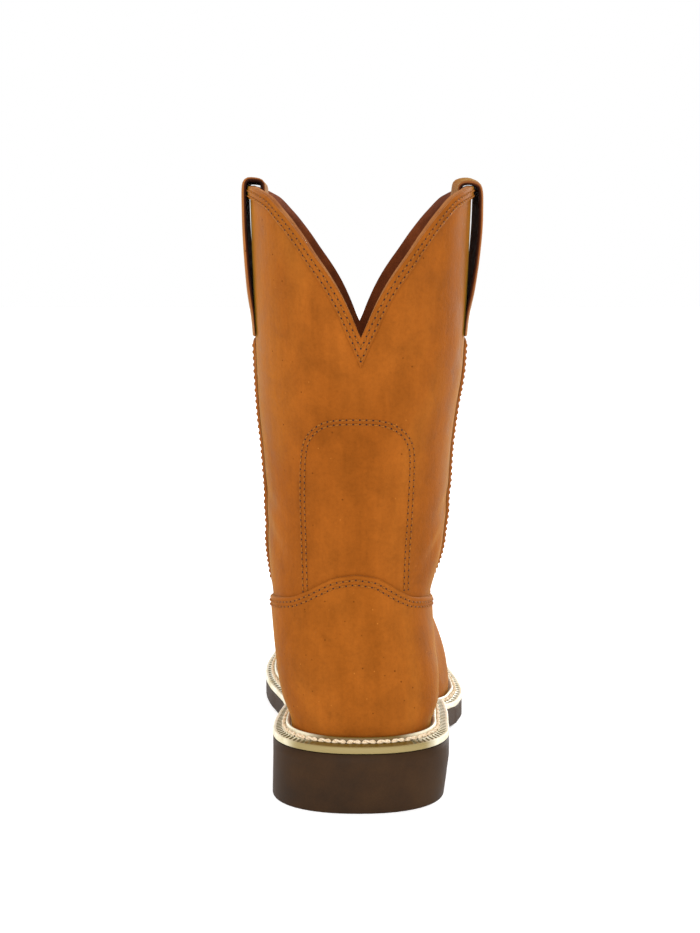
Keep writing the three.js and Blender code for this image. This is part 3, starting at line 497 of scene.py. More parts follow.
def face_normal(turn, level):
    """The outward normal. Turns lie close together at the front's middle, so its step is longer."""
    inside = np.clip(level, 0, 1)
    low = np.maximum(0, inside - SLOPE_STEP)
    high = np.minimum(1, inside + SLOPE_STEP)
    front = np.abs(np.asarray(turn) - 0.5) < FRONT_TURNS
    around = np.where(front, FRONT_STEPS * SLOPE_STEP, SLOPE_STEP)
    along_turn = face_point(turn + around, inside) - face_point(turn - around, inside)
    along_level = face_point(turn, high) - face_point(turn, low)
    normal = unit(np.cross(along_turn, along_level))
    flat = (inside < EDGE_LEVELS) | (inside > 1 - EDGE_LEVELS)
    normal[..., 2] = np.where(flat, normal[..., 2] * EDGE_FLATNESS, normal[..., 2])
    return unit(normal)


# Soft troughs and ridges in the leather, placed one by one. "turn" is where round the boot, 0 at the
# back and 0.25 at the outer side. "z" is a height and "long", "wide" and "deep" are sizes in mm.
# "lean" tilts the trough from upright, in degrees. A negative depth is a ridge.
CREASES = [
    # back of the shaft: slow waves
    {"turn": 0.055, "z": 190, "long": 70, "wide": 14, "deep": 0.5, "lean": 12},
    {"turn": 0.94, "z": 205, "long": 80, "wide": 16, "deep": 0.55, "lean": -8},
    {"turn": 0.1, "z": 236, "long": 50, "wide": 14, "deep": 0.5, "lean": 20},
    {"turn": 0.965, "z": 125, "long": 45, "wide": 14, "deep": 0.4, "lean": -5},
    {"turn": 0.04, "z": 132, "long": 45, "wide": 12, "deep": 0.35, "lean": 6},
    # ankle sides: folds where the boot bends
    {"turn": 0.17, "z": 112, "long": 34, "wide": 9, "deep": 1.1, "lean": 62},
    {"turn": 0.2, "z": 128, "long": 40, "wide": 10, "deep": 0.9, "lean": 70},
    {"turn": 0.83, "z": 114, "long": 34, "wide": 9, "deep": 0.9, "lean": -62},
    {"turn": 0.8, "z": 132, "long": 40, "wide": 10, "deep": 0.8, "lean": -70},
    {"turn": 0.3, "z": 120, "long": 44, "wide": 9, "deep": 1.2, "lean": 80},
    {"turn": 0.7, "z": 122, "long": 44, "wide": 9, "deep": 1.2, "lean": -80},
    {"turn": 0.3, "z": 138, "long": 40, "wide": 9, "deep": -0.8, "lean": 84},
    {"turn": 0.7, "z": 140, "long": 40, "wide": 9, "deep": -0.8, "lean": -84},
    # front of the shaft over the tongue
    {"turn": 0.46, "z": 168, "long": 46, "wide": 10, "deep": 0.9, "lean": 85},
    {"turn": 0.54, "z": 190, "long": 46, "wide": 12, "deep": 0.7, "lean": -85},
]

# A crease fades out this far in front of or behind its own spot on the face
CREASE_REACH = 30.0

# Creases across the vamp where the toes bend: "along" is a share of the sole's length
VAMP_CREASES = [
    {"along": 0.655, "wide": 5.5, "deep": 0.8, "slant": 0.1},
    {"along": 0.69, "wide": 5.0, "deep": 0.65, "slant": -0.06},
    {"along": 0.62, "wide": 5.0, "deep": 0.55, "slant": 0.05},
    {"along": 0.5, "wide": 8.0, "deep": 0.7, "slant": 0.0},
]


def crease_depth(points, turn):
    """How far the face sinks at each point, in millimetres."""
    depth = np.zeros(points.shape[:-1])
    x, y, z = points[..., 0], points[..., 1], points[..., 2]
    for crease in CREASES:
        place = spot_at_height(crease["turn"], crease["z"])
        away = points - place["point"]
        around = away @ place["across"]
        up = away[..., 2]
        lean = math.radians(crease["lean"])
        along = up * math.cos(lean) + around * math.sin(lean)
        across = around * math.cos(lean) - up * math.sin(lean)
        near = np.exp(-((away @ place["normal"]) / CREASE_REACH) ** 2)
        shape = np.exp(-((along / (crease["long"] / 2)) ** 2) - (across / (crease["wide"] / 2)) ** 2)
        depth += crease["deep"] * shape * near
    top = smooth((z - feather_height(y)) / np.maximum(1, ridge_height(y) - feather_height(y)), 0.35, 0.8)
    for crease in VAMP_CREASES:
        line = crease["along"] * SOLE_LENGTH + crease["slant"] * x
        wave = np.exp(-(((y - line) / crease["wide"]) ** 2))
        depth += crease["deep"] * wave * top * foot_share(y, z)
    return depth


def level_at_height(turn, height):
    """The level where a column of the face reaches a height."""
    turn, height = np.broadcast_arrays(np.asarray(turn, float), np.asarray(height, float))
    low = np.zeros(turn.shape)
    high = np.ones(turn.shape)
    for _ in range(HALVINGS):
        middle = (low + high) / 2
        below = face_point(turn, middle)[..., 2] < height
        low = np.where(below, middle, low)
        high = np.where(below, high, middle)
    return (low + high) / 2


def spot_at_height(turn, height):
    level = level_at_height(turn, height)
    normal = face_normal(np.array(turn), level)
    across = unit(np.cross([0.0, 0.0, 1.0], normal))
    return {"point": face_point(turn, level), "normal": normal, "across": across}


def offset_point(turn, level, offset):
    """Face points moved along the normal, creased, and straight up or down past the face's ends."""
    turn, level = np.broadcast_arrays(np.asarray(turn, float), np.asarray(level, float))
    inside = np.clip(level, 0, 1)
    point = face_point(turn, inside)
    normal = face_normal(turn, inside)
    sunk = crease_depth(point, turn)
    point = point + normal * (np.asarray(offset) - sunk)[..., None]
    point[..., 2] += (level - inside) * BOOT_HEIGHT
    return point, normal


# Where the panels' edges run

def seam_turn(level):
    """The turn on the outer side where a level crosses the seam between counter and vamp."""
    level = np.asarray(level, float)
    low = np.full(level.shape, 0.03)
    high = np.full(level.shape, 0.45)
    base = feather_height(COUNTER_FRONT_ALONG)
    for _ in range(HALVINGS):
        middle = (low + high) / 2
        point = face_point(middle, level)
        up = np.clip((point[..., 2] - base) / (COUNTER_CORNER_HEIGHT - base), 0, 1)
        line = lerp(COUNTER_FRONT_ALONG, COUNTER_CORNER_ALONG, up**0.8)
        behind = point[..., 1] < line
        low = np.where(behind, middle, low)
        high = np.where(behind, high, middle)
    return (low + high) / 2


def corner_level():
    level = 0.5
    for _ in range(CORNER_ROUNDS):
        level = float(level_at_height(seam_turn(level), COUNTER_CORNER_HEIGHT))
    return level


CORNER_LEVEL = corner_level()


def turn_for(length, turn, level):
    """A length along the face as a share of a turn."""
    step = face_point(turn + SMALL_TURN, level) - face_point(turn - SMALL_TURN, level)
    return length * 2 * SMALL_TURN / np.linalg.norm(step, axis=-1)


def counter_place(along, up):
    across = 2 * along - 1
    rise = CORNER_LEVEL * up
    edge = seam_turn(rise)
    turn = across * (edge - turn_for(PANEL_GAP / 2, edge, rise))
    top = lerp(COUNTER_CORNER_HEIGHT, COUNTER_HEIGHT, counter_top(np.abs(across)))
    return turn, up * level_at_height(turn, top)


def vamp_place(along, up):
    across = 2 * along - 1
    rise = CORNER_LEVEL * up
    edge = seam_turn(rise)
    turn = 0.5 + across * (0.5 - edge - turn_for(PANEL_GAP / 2, edge, rise))
    top = lerp(COUNTER_CORNER_HEIGHT, TONGUE_HEIGHT, vamp_top(1 - np.abs(across)))
    return turn, up * level_at_height(turn, top)


def collar_stretch(turn):
    """How much longer a drop in height is than a distance square to the sloping collar."""
    slopes = []
    for step in (SLOPE_STEP, -SLOPE_STEP):
        run = face_point(turn + step, 1.0) - face_point(turn, 1.0)
        slopes.append(np.abs(run[..., 2]) / np.hypot(run[..., 0], run[..., 1]))
    return np.minimum(2.3, np.hypot(1, np.maximum(*slopes)))


def below_collar(turn, distance):
    height = face_point(turn, 1.0)[..., 2] - distance * collar_stretch(turn)
    return level_at_height(turn, height)


def binding_place(along, up):
    low = below_collar(along, BINDING_WIDTH)
    return along, lerp(low, 1.0, up)


def seam_centre(side, height):
    corner = float(seam_turn(CORNER_LEVEL))
    slant = smooth(height, COUNTER_CORNER_HEIGHT, SEAM_UPRIGHT_HEIGHT)
    return np.where(side > 0, lerp(corner, 0.25, slant), lerp(1 - corner, 0.75, slant))


def side_seam_place(side):
    bottom = COUNTER_CORNER_HEIGHT + SEAM_ABOVE_CORNER

    def place(along, up):
        height = lerp(bottom, STRAP_FOOT_HEIGHT - SEAM_BELOW_STRAP, up)
        centre = seam_centre(side, height)
        level = level_at_height(centre, height)
        return centre + (2 * along - 1) * turn_for(SEAM_WIDTH / 2, centre, level), level

    return place


# Meshes

def make_object(name, points, faces, material):
    mesh = bpy.data.meshes.new(name)
    placed = np.asarray(points, float).reshape(-1, 3) - [0.0, ORIGIN_ALONG, 0.0]
    mesh.from_pydata((placed / METRE).tolist(), [], faces)
    mesh.polygons.foreach_set("use_smooth", [True] * len(mesh.polygons))
    mesh.update()
    piece = bpy.data.objects.new(name, mesh)
    bpy.context.scene.collection.objects.link(piece)
    mesh.materials.append(material)
    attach(piece, "root")
    return piece


def grid_faces(rows, columns, start=0, ring=False, flip=False):
    faces = []
    spans = columns if ring else columns - 1
    for row in range(rows - 1):
        for c in range(spans):
            n = (c + 1) % columns
            a = start + row * columns + c
            b = start + row * columns + n
            d = start + (row + 1) * columns + c
            e = start + (row + 1) * columns + n
            faces.append((a, d, e, b) if flip else (a, b, e, d))
    return faces


def wall_faces(rows, columns, start, ring):
    """The faces that join a slab's outer grid to its inner one round its border."""
    size = rows * columns
    faces = []
    spans = columns if ring else columns - 1
    for c in range(spans):
        n = (c + 1) % columns
        top = start + (rows - 1) * columns
        low = start
        faces.append((low + c, low + size + c, low + size + n, low + n))
        faces.append((top + c, top + n, top + size + n, top + size + c))
    if not ring:
        for row in range(rows - 1):
            left = start + row * columns
            right = left + columns - 1
            faces.append((left, left + columns, left + size + columns, left + size))
            faces.append((right, right + size, right + size + columns, right + columns))
    return faces


def slab(outer, inner, ring=False):
    rows, columns = outer.shape[:2]
    size = rows * columns
    points = np.concatenate([outer.reshape(-1, 3), inner.reshape(-1, 3)])
    faces = grid_faces(rows, columns, 0, ring)
    faces += grid_faces(rows, columns, size, ring, flip=True)
    faces += wall_faces(rows, columns, 0, ring)
    return points, faces


# Shares along one side of a panel, close together at its edges so that they can be rounded
EDGE_SHARES = [0.0, 0.0012, 0.003, 0.006, 0.011]


def edged_shares(count, low_edge=True, high_edge=True):
    inner = np.linspace(EDGE_SHARES[-1], 1 - EDGE_SHARES[-1], count)
    low = EDGE_SHARES[:-1] if low_edge else [0.0]
    high = [1 - share for share in reversed(EDGE_SHARES[:-1])] if high_edge else [1.0]
    return np.concatenate([low, inner, high])


def travelled(points, axis):
    """Distance run along an axis of a grid of points, from its start and from its end."""
    steps = np.linalg.norm(np.diff(points, axis=axis), axis=-1)
    run = np.cumsum(steps, axis=axis)
    pad = [(0, 0), (0, 0)]
    pad[axis] = (1, 0)
    run = np.pad(run, pad)
    total = np.take(run, [-1], axis=axis)
    return run, total - run


# A panel's edge is rounded over this distance, down to this share of its wall, and its inner face
# lies this far off the upper
EDGE_RADIUS = 0.9
EDGE_WALL = 0.35
PANEL_REST = 0.1


def panel(name, rows, columns, place, wall, material, ring=False):
    """An overlay of leather with rounded edges."""
    up = edged_shares(rows, low_edge=ring or place is binding_place)
    along = np.linspace(0, 1, columns, endpoint=False) if ring else edged_shares(columns)
    along, up = np.meshgrid(along, up)
    turn, level = place(along, up)
    flat = face_point(turn, level)
    edges = [travelled(flat, 0)[1]]
    if ring:
        edges.append(travelled(flat, 0)[0])
    else:
        edges += travelled(flat, 1)
    distance = np.minimum.reduce(edges)
    near = 1 - np.clip(distance / EDGE_RADIUS, 0, 1)
    height = lerp(EDGE_WALL, 1.0, np.sqrt(1 - near**2)) * wall
    outer, _ = offset_point(turn, level, CLEARANCE + height)
    inner, _ = offset_point(turn, level, np.full(height.shape, PANEL_REST))
    points, faces = slab(outer, inner, ring)
    piece = make_object(name, points, faces, material)
    piece.data.materials.append(RAW_EDGE)
    rows, columns = outer.shape[:2]
    spans = columns if ring else columns - 1
    cut = np.zeros(len(faces), dtype=np.int32)
    cut[2 * (rows - 1) * spans:] = 1
    piece.data.polygons.foreach_set("material_index", cut)
    return piece


# Materials

def new_material(name):
    material = bpy.data.materials.new(name)
    material.use_nodes = True
    nodes = material.node_tree.nodes
    return material, nodes, material.node_tree.links, nodes["Principled BSDF"]


def colour(hex_code):
    """A linear colour from a six-figure code."""
    values = [int(hex_code[i:i + 2], 16) / 255 for i in (0, 2, 4)]
    linear = [v / 12.92 if v <= 0.04045 else ((v + 0.055) / 1.055) ** 2.4 for v in values]
    return (*linear, 1.0)


def noise(nodes, links, scale, detail, coordinates, roughness=0.55, distortion=0.0):
    node = nodes.new("ShaderNodeTexNoise")
    node.inputs["Scale"].default_value = scale
    node.inputs["Detail"].default_value = detail
    node.inputs["Roughness"].default_value = roughness
    node.inputs["Distortion"].default_value = distortion
    links.new(coordinates, node.inputs["Vector"])
    return node.outputs["Fac"]


def ramp(nodes, links, value, stops):
    node = nodes.new("ShaderNodeValToRGB")
    elements = node.color_ramp.elements
    while len(elements) < len(stops):
        elements.new(0.5)
    for element, (position, shade) in zip(elements, stops):
        element.position = position
        element.color = shade
    links.new(value, node.inputs["Fac"])
    return node.outputs["Color"]


def mix(nodes, links, share, first, second, kind="MIX"):
    node = nodes.new("ShaderNodeMix")
    node.data_type = "RGBA"
    node.blend_type = kind
    for socket, value in (("Factor", share), ("A", first), ("B", second)):
        target = [s for s in node.inputs if s.name == socket and s.enabled][0]
        if isinstance(value, (tuple, float)):
            target.default_value = value
        else:
            links.new(value, target)
    return [s for s in node.outputs if s.enabled][0]


def bump(nodes, links, height, strength, distance, normal=None):
    node = nodes.new("ShaderNodeBump")
    node.inputs["Strength"].default_value = strength
    node.inputs["Distance"].default_value = distance
    links.new(height, node.inputs["Height"])
    if normal is not None:
        links.new(normal, node.inputs["Normal"])
    return node.outputs["Normal"]


def place_coordinates(nodes, links, scale=(1.0, 1.0, 1.0)):
    texture = nodes.new("ShaderNodeTexCoord")
    mapping = nodes.new("ShaderNodeMapping")
    mapping.inputs["Scale"].default_value = scale
    links.new(texture.outputs["Object"], mapping.inputs["Vector"])
    return mapping.outputs["Vector"]


def grey(value):
    return (value, value, value, 1.0)


def scattered(nodes, links, place, scale, size, share):
    """1 in small round spots scattered over a surface, and 0 between them."""
    cells = nodes.new("ShaderNodeTexVoronoi")
    cells.inputs["Scale"].default_value = scale
    links.new(place, cells.inputs["Vector"])
    spots = ramp(nodes, links, cells.outputs["Distance"], [(size, grey(1.0)), (1.6 * size, grey(0.0))])
    parts = nodes.new("ShaderNodeSeparateColor")
    links.new(cells.outputs["Color"], parts.inputs["Color"])
    picked = ramp(nodes, links, parts.outputs["Red"], [(share, grey(1.0)), (share + 0.02, grey(0.0))])
    return mix(nodes, links, 1.0, spots, picked, "MULTIPLY")


def oiled_leather(name, dark, middle, light, wear=0.4, gloss=0.68):
    """Waxy pull-up leather: cloudy patches, upright streaks, fine grain, pale flecks and dark pits."""
    material, nodes, links, shader = new_material(name)
    place = place_coordinates(nodes, links)
    tall = place_coordinates(nodes, links, (1.0, 1.0, 0.45))
    patches = noise(nodes, links, 17, 4, tall, 0.5, 0.6)
    clouds = noise(nodes, links, 75, 5, place, 0.6, 0.4)
    specks = noise(nodes, links, 620, 3, place, 0.7)
    base = ramp(nodes, links, patches, [(0.3, dark), (0.5, middle), (0.72, light)])
    cloudy = ramp(nodes, links, clouds, [(0.3, grey(0.78)), (0.55, grey(1.0)), (0.8, grey(1.18))])
    toned = mix(nodes, links, 0.75, base, cloudy, "MULTIPLY")
    fine = ramp(nodes, links, specks, [(0.25, grey(0.8)), (0.5, grey(1.0)), (0.78, grey(1.14))])
    grained = mix(nodes, links, 0.55, toned, fine, "MULTIPLY")
    upright = noise(nodes, links, 260, 4, place_coordinates(nodes, links, (1.0, 1.0, 0.06)), 0.6)
    streaks = ramp(nodes, links, upright, [(0.3, grey(0.86)), (0.5, grey(1.0)), (0.75, grey(1.12))])
    streaked = mix(nodes, links, 0.5, grained, streaks, "MULTIPLY")
    flecks = scattered(nodes, links, place, 210, 0.045, 0.5 * wear)
    pale = mix(nodes, links, flecks, streaked, light_fleck(light))
    pits = scattered(nodes, links, place, 230, 0.07, 0.4 * wear)
    finished = mix(nodes, links, pits, pale, dark_pit(dark))
    links.new(finished, shader.inputs["Base Color"])
    rough = ramp(nodes, links, clouds, [(0.3, grey(gloss - 0.08)), (0.75, grey(gloss + 0.14))])
    links.new(rough, shader.inputs["Roughness"])
    grain = noise(nodes, links, 900, 4, place, 0.65)
    pores = nodes.new("ShaderNodeTexVoronoi")
    pores.inputs["Scale"].default_value = 700
    links.new(place, pores.inputs["Vector"])
    first = bump(nodes, links, pores.outputs["Distance"], 0.12, 0.0003)
    second = bump(nodes, links, grain, 0.3, 0.0004, first)
    third = bump(nodes, links, clouds, 0.22, 0.0012, second)
    links.new(third, shader.inputs["Normal"])
    shader.inputs["Specular IOR Level"].default_value = 0.04
    shader.inputs["Specular Tint"].default_value = colour("E8A850")
    shader.inputs["Sheen Weight"].default_value = 0.3
    shader.inputs["Sheen Roughness"].default_value = 0.25
    shader.inputs["Sheen Tint"].default_value = colour("D4B43C")
    return material


def light_fleck(light):
    return tuple(min(1.0, 1.15 * value + 0.005) for value in light[:3]) + (1.0,)


def dark_pit(dark):
    return tuple(0.55 * value for value in dark[:3]) + (1.0,)


def suede(name, dark, light):
    material, nodes, links, shader = new_material(name)
    place = place_coordinates(nodes, links)
    patches = noise(nodes, links, 60, 5, place, 0.6)
    fibres = noise(nodes, links, 1400, 4, place, 0.75)
    links.new(ramp(nodes, links, patches, [(0.3, dark), (0.75, light)]), shader.inputs["Base Color"])
    links.new(bump(nodes, links, fibres, 0.7, 0.0008), shader.inputs["Normal"])
    shader.inputs["Roughness"].default_value = 0.93
    shader.inputs["Sheen Weight"].default_value = 0.5
    shader.inputs["Sheen Roughness"].default_value = 0.5
    shader.inputs["Sheen Tint"].default_value = light
    shader.inputs["Specular IOR Level"].default_value = 0.15
    return material


def thread(name, shade, shadow):
    material, nodes, links, shader = new_material(name)
    place = place_coordinates(nodes, links)
    fibres = noise(nodes, links, 1800, 3, place, 0.7)
    links.new(ramp(nodes, links, fibres, [(0.3, shadow), (0.65, shade)]), shader.inputs["Base Color"])
    links.new(bump(nodes, links, fibres, 0.5, 0.0003), shader.inputs["Normal"])
    shader.inputs["Roughness"].default_value = 0.7
    shader.inputs["Specular IOR Level"].default_value = 0.12
    return material


def matt(name, shade, roughness=0.9):
    material, nodes, links, shader = new_material(name)
    place = place_coordinates(nodes, links)
    cloud = noise(nodes, links, 120, 3, place)
    dark = tuple(0.7 * c for c in shade[:3]) + (1.0,)
    links.new(ramp(nodes, links, cloud, [(0.3, dark), (0.7, shade)]), shader.inputs["Base Color"])
    shader.inputs["Roughness"].default_value = roughness
    return material


def along_boot(nodes, links, start, end):
    """A value that passes from 0 to 1 between two distances from the back of the welt."""
    texture = nodes.new("ShaderNodeTexCoord")
    parts = nodes.new("ShaderNodeSeparateXYZ")
    links.new(texture.outputs["Object"], parts.inputs["Vector"])
    spread = nodes.new("ShaderNodeMapRange")
    spread.interpolation_type = "SMOOTHSTEP"
    spread.inputs["From Min"].default_value = (start - ORIGIN_ALONG) / METRE
    spread.inputs["From Max"].default_value = (end - ORIGIN_ALONG) / METRE
    links.new(parts.outputs["Y"], spread.inputs["Value"])
    return spread.outputs["Result"]


def welt_cream_with_painted_back_shade(name, back, rough):
    """Cream welt: bright on top and a little dirty, with painted shade in another tone across the back."""
    material, nodes, links, shader = new_material(name)
    place = place_coordinates(nodes, links)
    cloud = noise(nodes, links, 90, 4, place, 0.6)
    fine = noise(nodes, links, 900, 3, place, 0.7)
    stops = [(0.25, colour("C9BC8F")), (0.5, colour("E4DCC0")), (0.8, colour("F4F0E0"))]
    base = ramp(nodes, links, cloud, stops)
    dusty = ramp(nodes, links, fine, [(0.3, grey(0.86)), (0.6, grey(1.0))])
    cream = mix(nodes, links, 0.6, base, dusty, "MULTIPLY")
    # Painted shade: toward the back of the welt the cream passes into the darker back tone.
    forward = along_boot(nodes, links, 8.0, 15.0)
    links.new(mix(nodes, links, forward, back, cream), shader.inputs["Base Color"])
    links.new(bump(nodes, links, fine, 0.15, 0.0003), shader.inputs["Normal"])
    shader.inputs["Roughness"].default_value = rough
    return material


def sole_rubber(name):
    material, nodes, links, shader = new_material(name)
    place = place_coordinates(nodes, links)
    cloud = noise(nodes, links, 45, 5, place, 0.6)
    fine = noise(nodes, links, 1100, 3, place, 0.7)
    stops = [(0.3, colour("291A0C")), (0.55, colour("352210")), (0.8, colour("402B16"))]
    base = ramp(nodes, links, cloud, stops)
    dusty = ramp(nodes, links, fine, [(0.3, grey(0.88)), (0.7, grey(1.08))])
    links.new(mix(nodes, links, 0.6, base, dusty, "MULTIPLY"), shader.inputs["Base Color"])
    links.new(bump(nodes, links, fine, 0.2, 0.0003), shader.inputs["Normal"])
    links.new(ramp(nodes, links, cloud, [(0.3, grey(0.55)), (0.8, grey(0.72))]), shader.inputs["Roughness"])
    shader.inputs["Specular IOR Level"].default_value = 0.12
    return material


LEATHER = oiled_leather("oiled_leather", colour("844614"), colour("904F19"), colour("9C5B1F"))
PANEL_LEATHER = oiled_leather("oiled_leather_panels", colour("864814"), colour("94521A"), colour("A26021"),
                              1.0)
STRAP_LEATHER = oiled_leather("strap_grain", colour("6E3A18"), colour("8A5026"), colour("A86C3A"))
# The strap's flesh side: dark suede, deepened with painted shade.
STRAP_FLESH_AND_SHADE = suede("strap_flesh_and_shade", colour("1C0A04"), colour("3A1A0B"))
STRAP_EDGE = suede("strap_edge", colour("2E1208"), colour("56280F"))
RAW_EDGE = suede("raw_edge", colour("8A4E22"), colour("B77B45"))
SUEDE = suede("flesh_side", colour("4A200C"), colour("7A3C18"))
THREAD = thread("tan_thread", colour("A0601C"), colour("6E3A0C"))
WELT_THREAD = thread("welt_thread", colour("F3E6CB"), colour("C29A6A"))
# Dark domes at the needle holes: painted shade inside the holes.
HOLE_SHADE = matt("needle_hole_shade", colour("240A03"))
# The second colour of each welt material is painted shade across the back of the welt.
WELT = welt_cream_with_painted_back_shade("welt_ledge", colour("644A06"), 0.45)
WELT_RIM = welt_cream_with_painted_back_shade("welt_rim", colour("8E7C4A"), 0.6)
# Painted shade for the faces low in the grooves between the welt's ribs.
WELT_SHADE = matt("welt_shade", colour("6B6038"), 0.7)
RUBBER = sole_rubber("sole_rubber")
FOOTBED = suede("footbed_leather", colour("5A341C"), colour("7D5433"))


# Upper

UPPER_COLUMNS = 288
UPPER_ROWS = 150
LINING_ROWS = 70


def make_upper():
    turns = np.linspace(0, 1, UPPER_COLUMNS, endpoint=False)
    levels = np.linspace(0, 1, UPPER_ROWS)
    turn, level = np.meshgrid(turns, levels)
    outer, _ = offset_point(turn, level, np.zeros(turn.shape))
    turn_in, level_in = np.meshgrid(turns, np.linspace(0, 1, LINING_ROWS))
    inner, _ = offset_point(turn_in, level_in, np.full(turn_in.shape, -UPPER_WALL))
    points = np.concatenate([outer.reshape(-1, 3), inner.reshape(-1, 3)])
    size = UPPER_ROWS * UPPER_COLUMNS
    faces = grid_faces(UPPER_ROWS, UPPER_COLUMNS, 0, ring=True)
    outside = len(faces)
    faces += grid_faces(LINING_ROWS, UPPER_COLUMNS, size, ring=True, flip=True)
    top = (UPPER_ROWS - 1) * UPPER_COLUMNS
    top_in = size + (LINING_ROWS - 1) * UPPER_COLUMNS
    for c in range(UPPER_COLUMNS):
        n = (c + 1) % UPPER_COLUMNS
        faces.append((c, size + c, size + n, n))
        faces.append((top + c, top + n, top_in + n, top_in + c))
    piece = make_object("upper_leather", points, faces, LEATHER)
    piece.data.materials.append(SUEDE)
    piece.data.materials.append(RAW_EDGE)
    indices = np.zeros(len(faces), dtype=np.int32)
    indices[outside:] = 1
    indices[-2 * UPPER_COLUMNS:] = 2
    piece.data.polygons.foreach_set("material_index", indices)
    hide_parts("upper")


# Rows and columns of the grids of the panels
VAMP_GRID = (100, 150)
COUNTER_GRID = (70, 130)
BINDING_GRID = (6, 420)
SEAM_GRID = (80, 8)


def make_panels():
    vamp = panel("vamp_leather", *VAMP_GRID, vamp_place, OVERLAY_WALL, PANEL_LEATHER)
    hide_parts("vamp")
    counter = panel("counter_leather", *COUNTER_GRID, counter_place, OVERLAY_WALL, PANEL_LEATHER)
    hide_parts("heel_counter")
    binding = panel("collar_edge", *BINDING_GRID, binding_place, BINDING_WALL, LEATHER, ring=True)
    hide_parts("collar_binding")
    for side, word in ((1, "lateral"), (-1, "medial")):
        place = side_seam_place(side)
        seam = panel("side_seam_strip_" + word, *SEAM_GRID, place, SEAM_WALL, LEATHER)
        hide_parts("side_seam_" + word)


# Pull straps

def wall_distance(y, z, side):
    height = np.minimum(z, BOOT_HEIGHT)
    return shaft_half_width(y, height, side) + side * shaft_middle(height)


def spline(points, count):
    """Even points along a smooth curve through the given ones."""
    points = np.asarray(points, float)
    ends = [2 * points[0] - points[1], 2 * points[-1] - points[-2]]
    padded = np.concatenate([[ends[0]], points, [ends[1]]])
    dense = []
    for i in range(len(points) - 1):
        a, b, c, d = padded[i:i + 4]
        t = np.linspace(0, 1, 24, endpoint=False)[:, None]
        dense.append(0.5 * (2 * b + (c - a) * t + (2 * a - 5 * b + 4 * c - d) * t**2
                            + (3 * b - a - 3 * c + d) * t**3))
    dense.append(points[-1:])
    dense = np.concatenate(dense)
    return evenly(dense, count)[0]


def evenly(line, count):
    """Points at even distances along a line of points, and its length."""
    run = np.concatenate([[0], np.cumsum(np.linalg.norm(np.diff(line, axis=0), axis=1))])
    wanted = np.linspace(0, run[-1], count)
    return np.stack([np.interp(wanted, run, line[:, k]) for k in range(line.shape[1])], 1), run[-1]


# A strap's ends are thinned to this share of its wall, and reach their full wall this far up
STRAP_END_WALL = 0.4
STRAP_THINNING = 22.0
STRAP_STEPS = 120
STRAP_SPANS = 11
STRAP_TILT_START = 0.84


def strap_thickness(z):
    full = smooth(z, STRAP_FOOT_HEIGHT, STRAP_FOOT_HEIGHT + STRAP_THINNING)
    return STRAP_WALL * lerp(STRAP_END_WALL, 1.0, full)


def shaft_centre(z):
    return float((back_line(z) + shaft_front(z)) / 2)


def make_strap(side, word):
    """A brown strap with a dark flesh side, deepened with painted shade, looped over the collar."""
    stance = STRAP_STANCE[side]
    outside = 1.5 * CLEARANCE
    inside = UPPER_WALL + 2 * CLEARANCE
    across = edged_shares(STRAP_SPANS) - 0.5
    lines = []
    for share in across:
        knots = []
        for height, out, face in zip(STRAP["height"], STRAP["out"], STRAP["side"]):
            tilt = share * stance["tilt"] * float(smooth(height, STRAP_TILT_START, 1.0))
            z = lerp(STRAP_FOOT_HEIGHT, BOOT_HEIGHT + stance["rise"], height) + tilt
            y = shaft_centre(min(z, BOOT_HEIGHT)) + share * STRAP_WIDTH
            rest = (outside if face > 0 else inside) + float(strap_thickness(z)) / 2
            stand = out * (stance["bow"] if face > 0 else STRAP_FINGER_GAP)
            twist = -share * stance["twist"] * max(0.0, out)
            x = side * (float(wall_distance(y, z, side)) + face * (rest + stand) + twist)
            knots.append((x, y, z))
        lines.append(spline(knots, STRAP_STEPS))
    middle = np.stack(lines, axis=1)
    along = unit(np.gradient(middle, axis=0))
    wide = unit(np.gradient(middle, axis=1))
    normal = unit(np.cross(wide, along)) * side
    border = np.sqrt(np.clip(1 - np.abs(2 * across) ** 26, 0.08, 1))
    thick = (strap_thickness(middle[..., 2]) / 2 * border)[..., None]
    outer = middle + normal * thick
    inner = middle - normal * thick
    if side < 0:
        outer, inner = outer[:, ::-1], inner[:, ::-1]
    points, faces = slab(outer, inner)
    piece = make_object("pull_loop_" + word, points, faces, STRAP_FLESH_AND_SHADE)
    piece.data.materials.append(STRAP_LEATHER)
    piece.data.materials.append(STRAP_EDGE)
    spans = len(across) - 1
    # Outer faces take the grain leather, inner faces the flesh side with its painted shade, and the long
    # edges and walls the edge leather.
    face_rows = np.zeros((2, STRAP_STEPS - 1, spans), dtype=np.int32)
    face_rows[0] = 1
    face_rows[:, :, (0, -1)] = 2
    surface = np.full(len(faces), 2, dtype=np.int32)
    surface[:face_rows.size] = face_rows.ravel()
    piece.data.polygons.foreach_set("material_index", surface)
    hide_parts("pull_strap_" + word)


# Stitching

def tube_faces(rings, sides):
    faces = []
    for ring in range(rings - 1):
        for k in range(sides):
            n = (k + 1) % sides
            a, b = ring * sides + k, ring * sides + n
            faces.append((a, b, b + sides, a + sides))
    faces.append(tuple(reversed(range(sides))))
    faces.append(tuple(range((rings - 1) * sides, rings * sides)))
    return faces


def capsule(sides=6, rings=5):
    """A stitch of unit length along the first axis, with a round section and drawn-in ends."""
    points = []
    for share in np.linspace(0, 1, rings):
        swell = math.sqrt(max(0.0, 1 - (2 * share - 1) ** 4)) * 0.85 + 0.15
        for k in range(sides):
            angle = 2 * math.pi * k / sides
            points.append((share - 0.5, swell * math.cos(angle), swell * math.sin(angle)))
    return np.array(points), tube_faces(rings, sides)


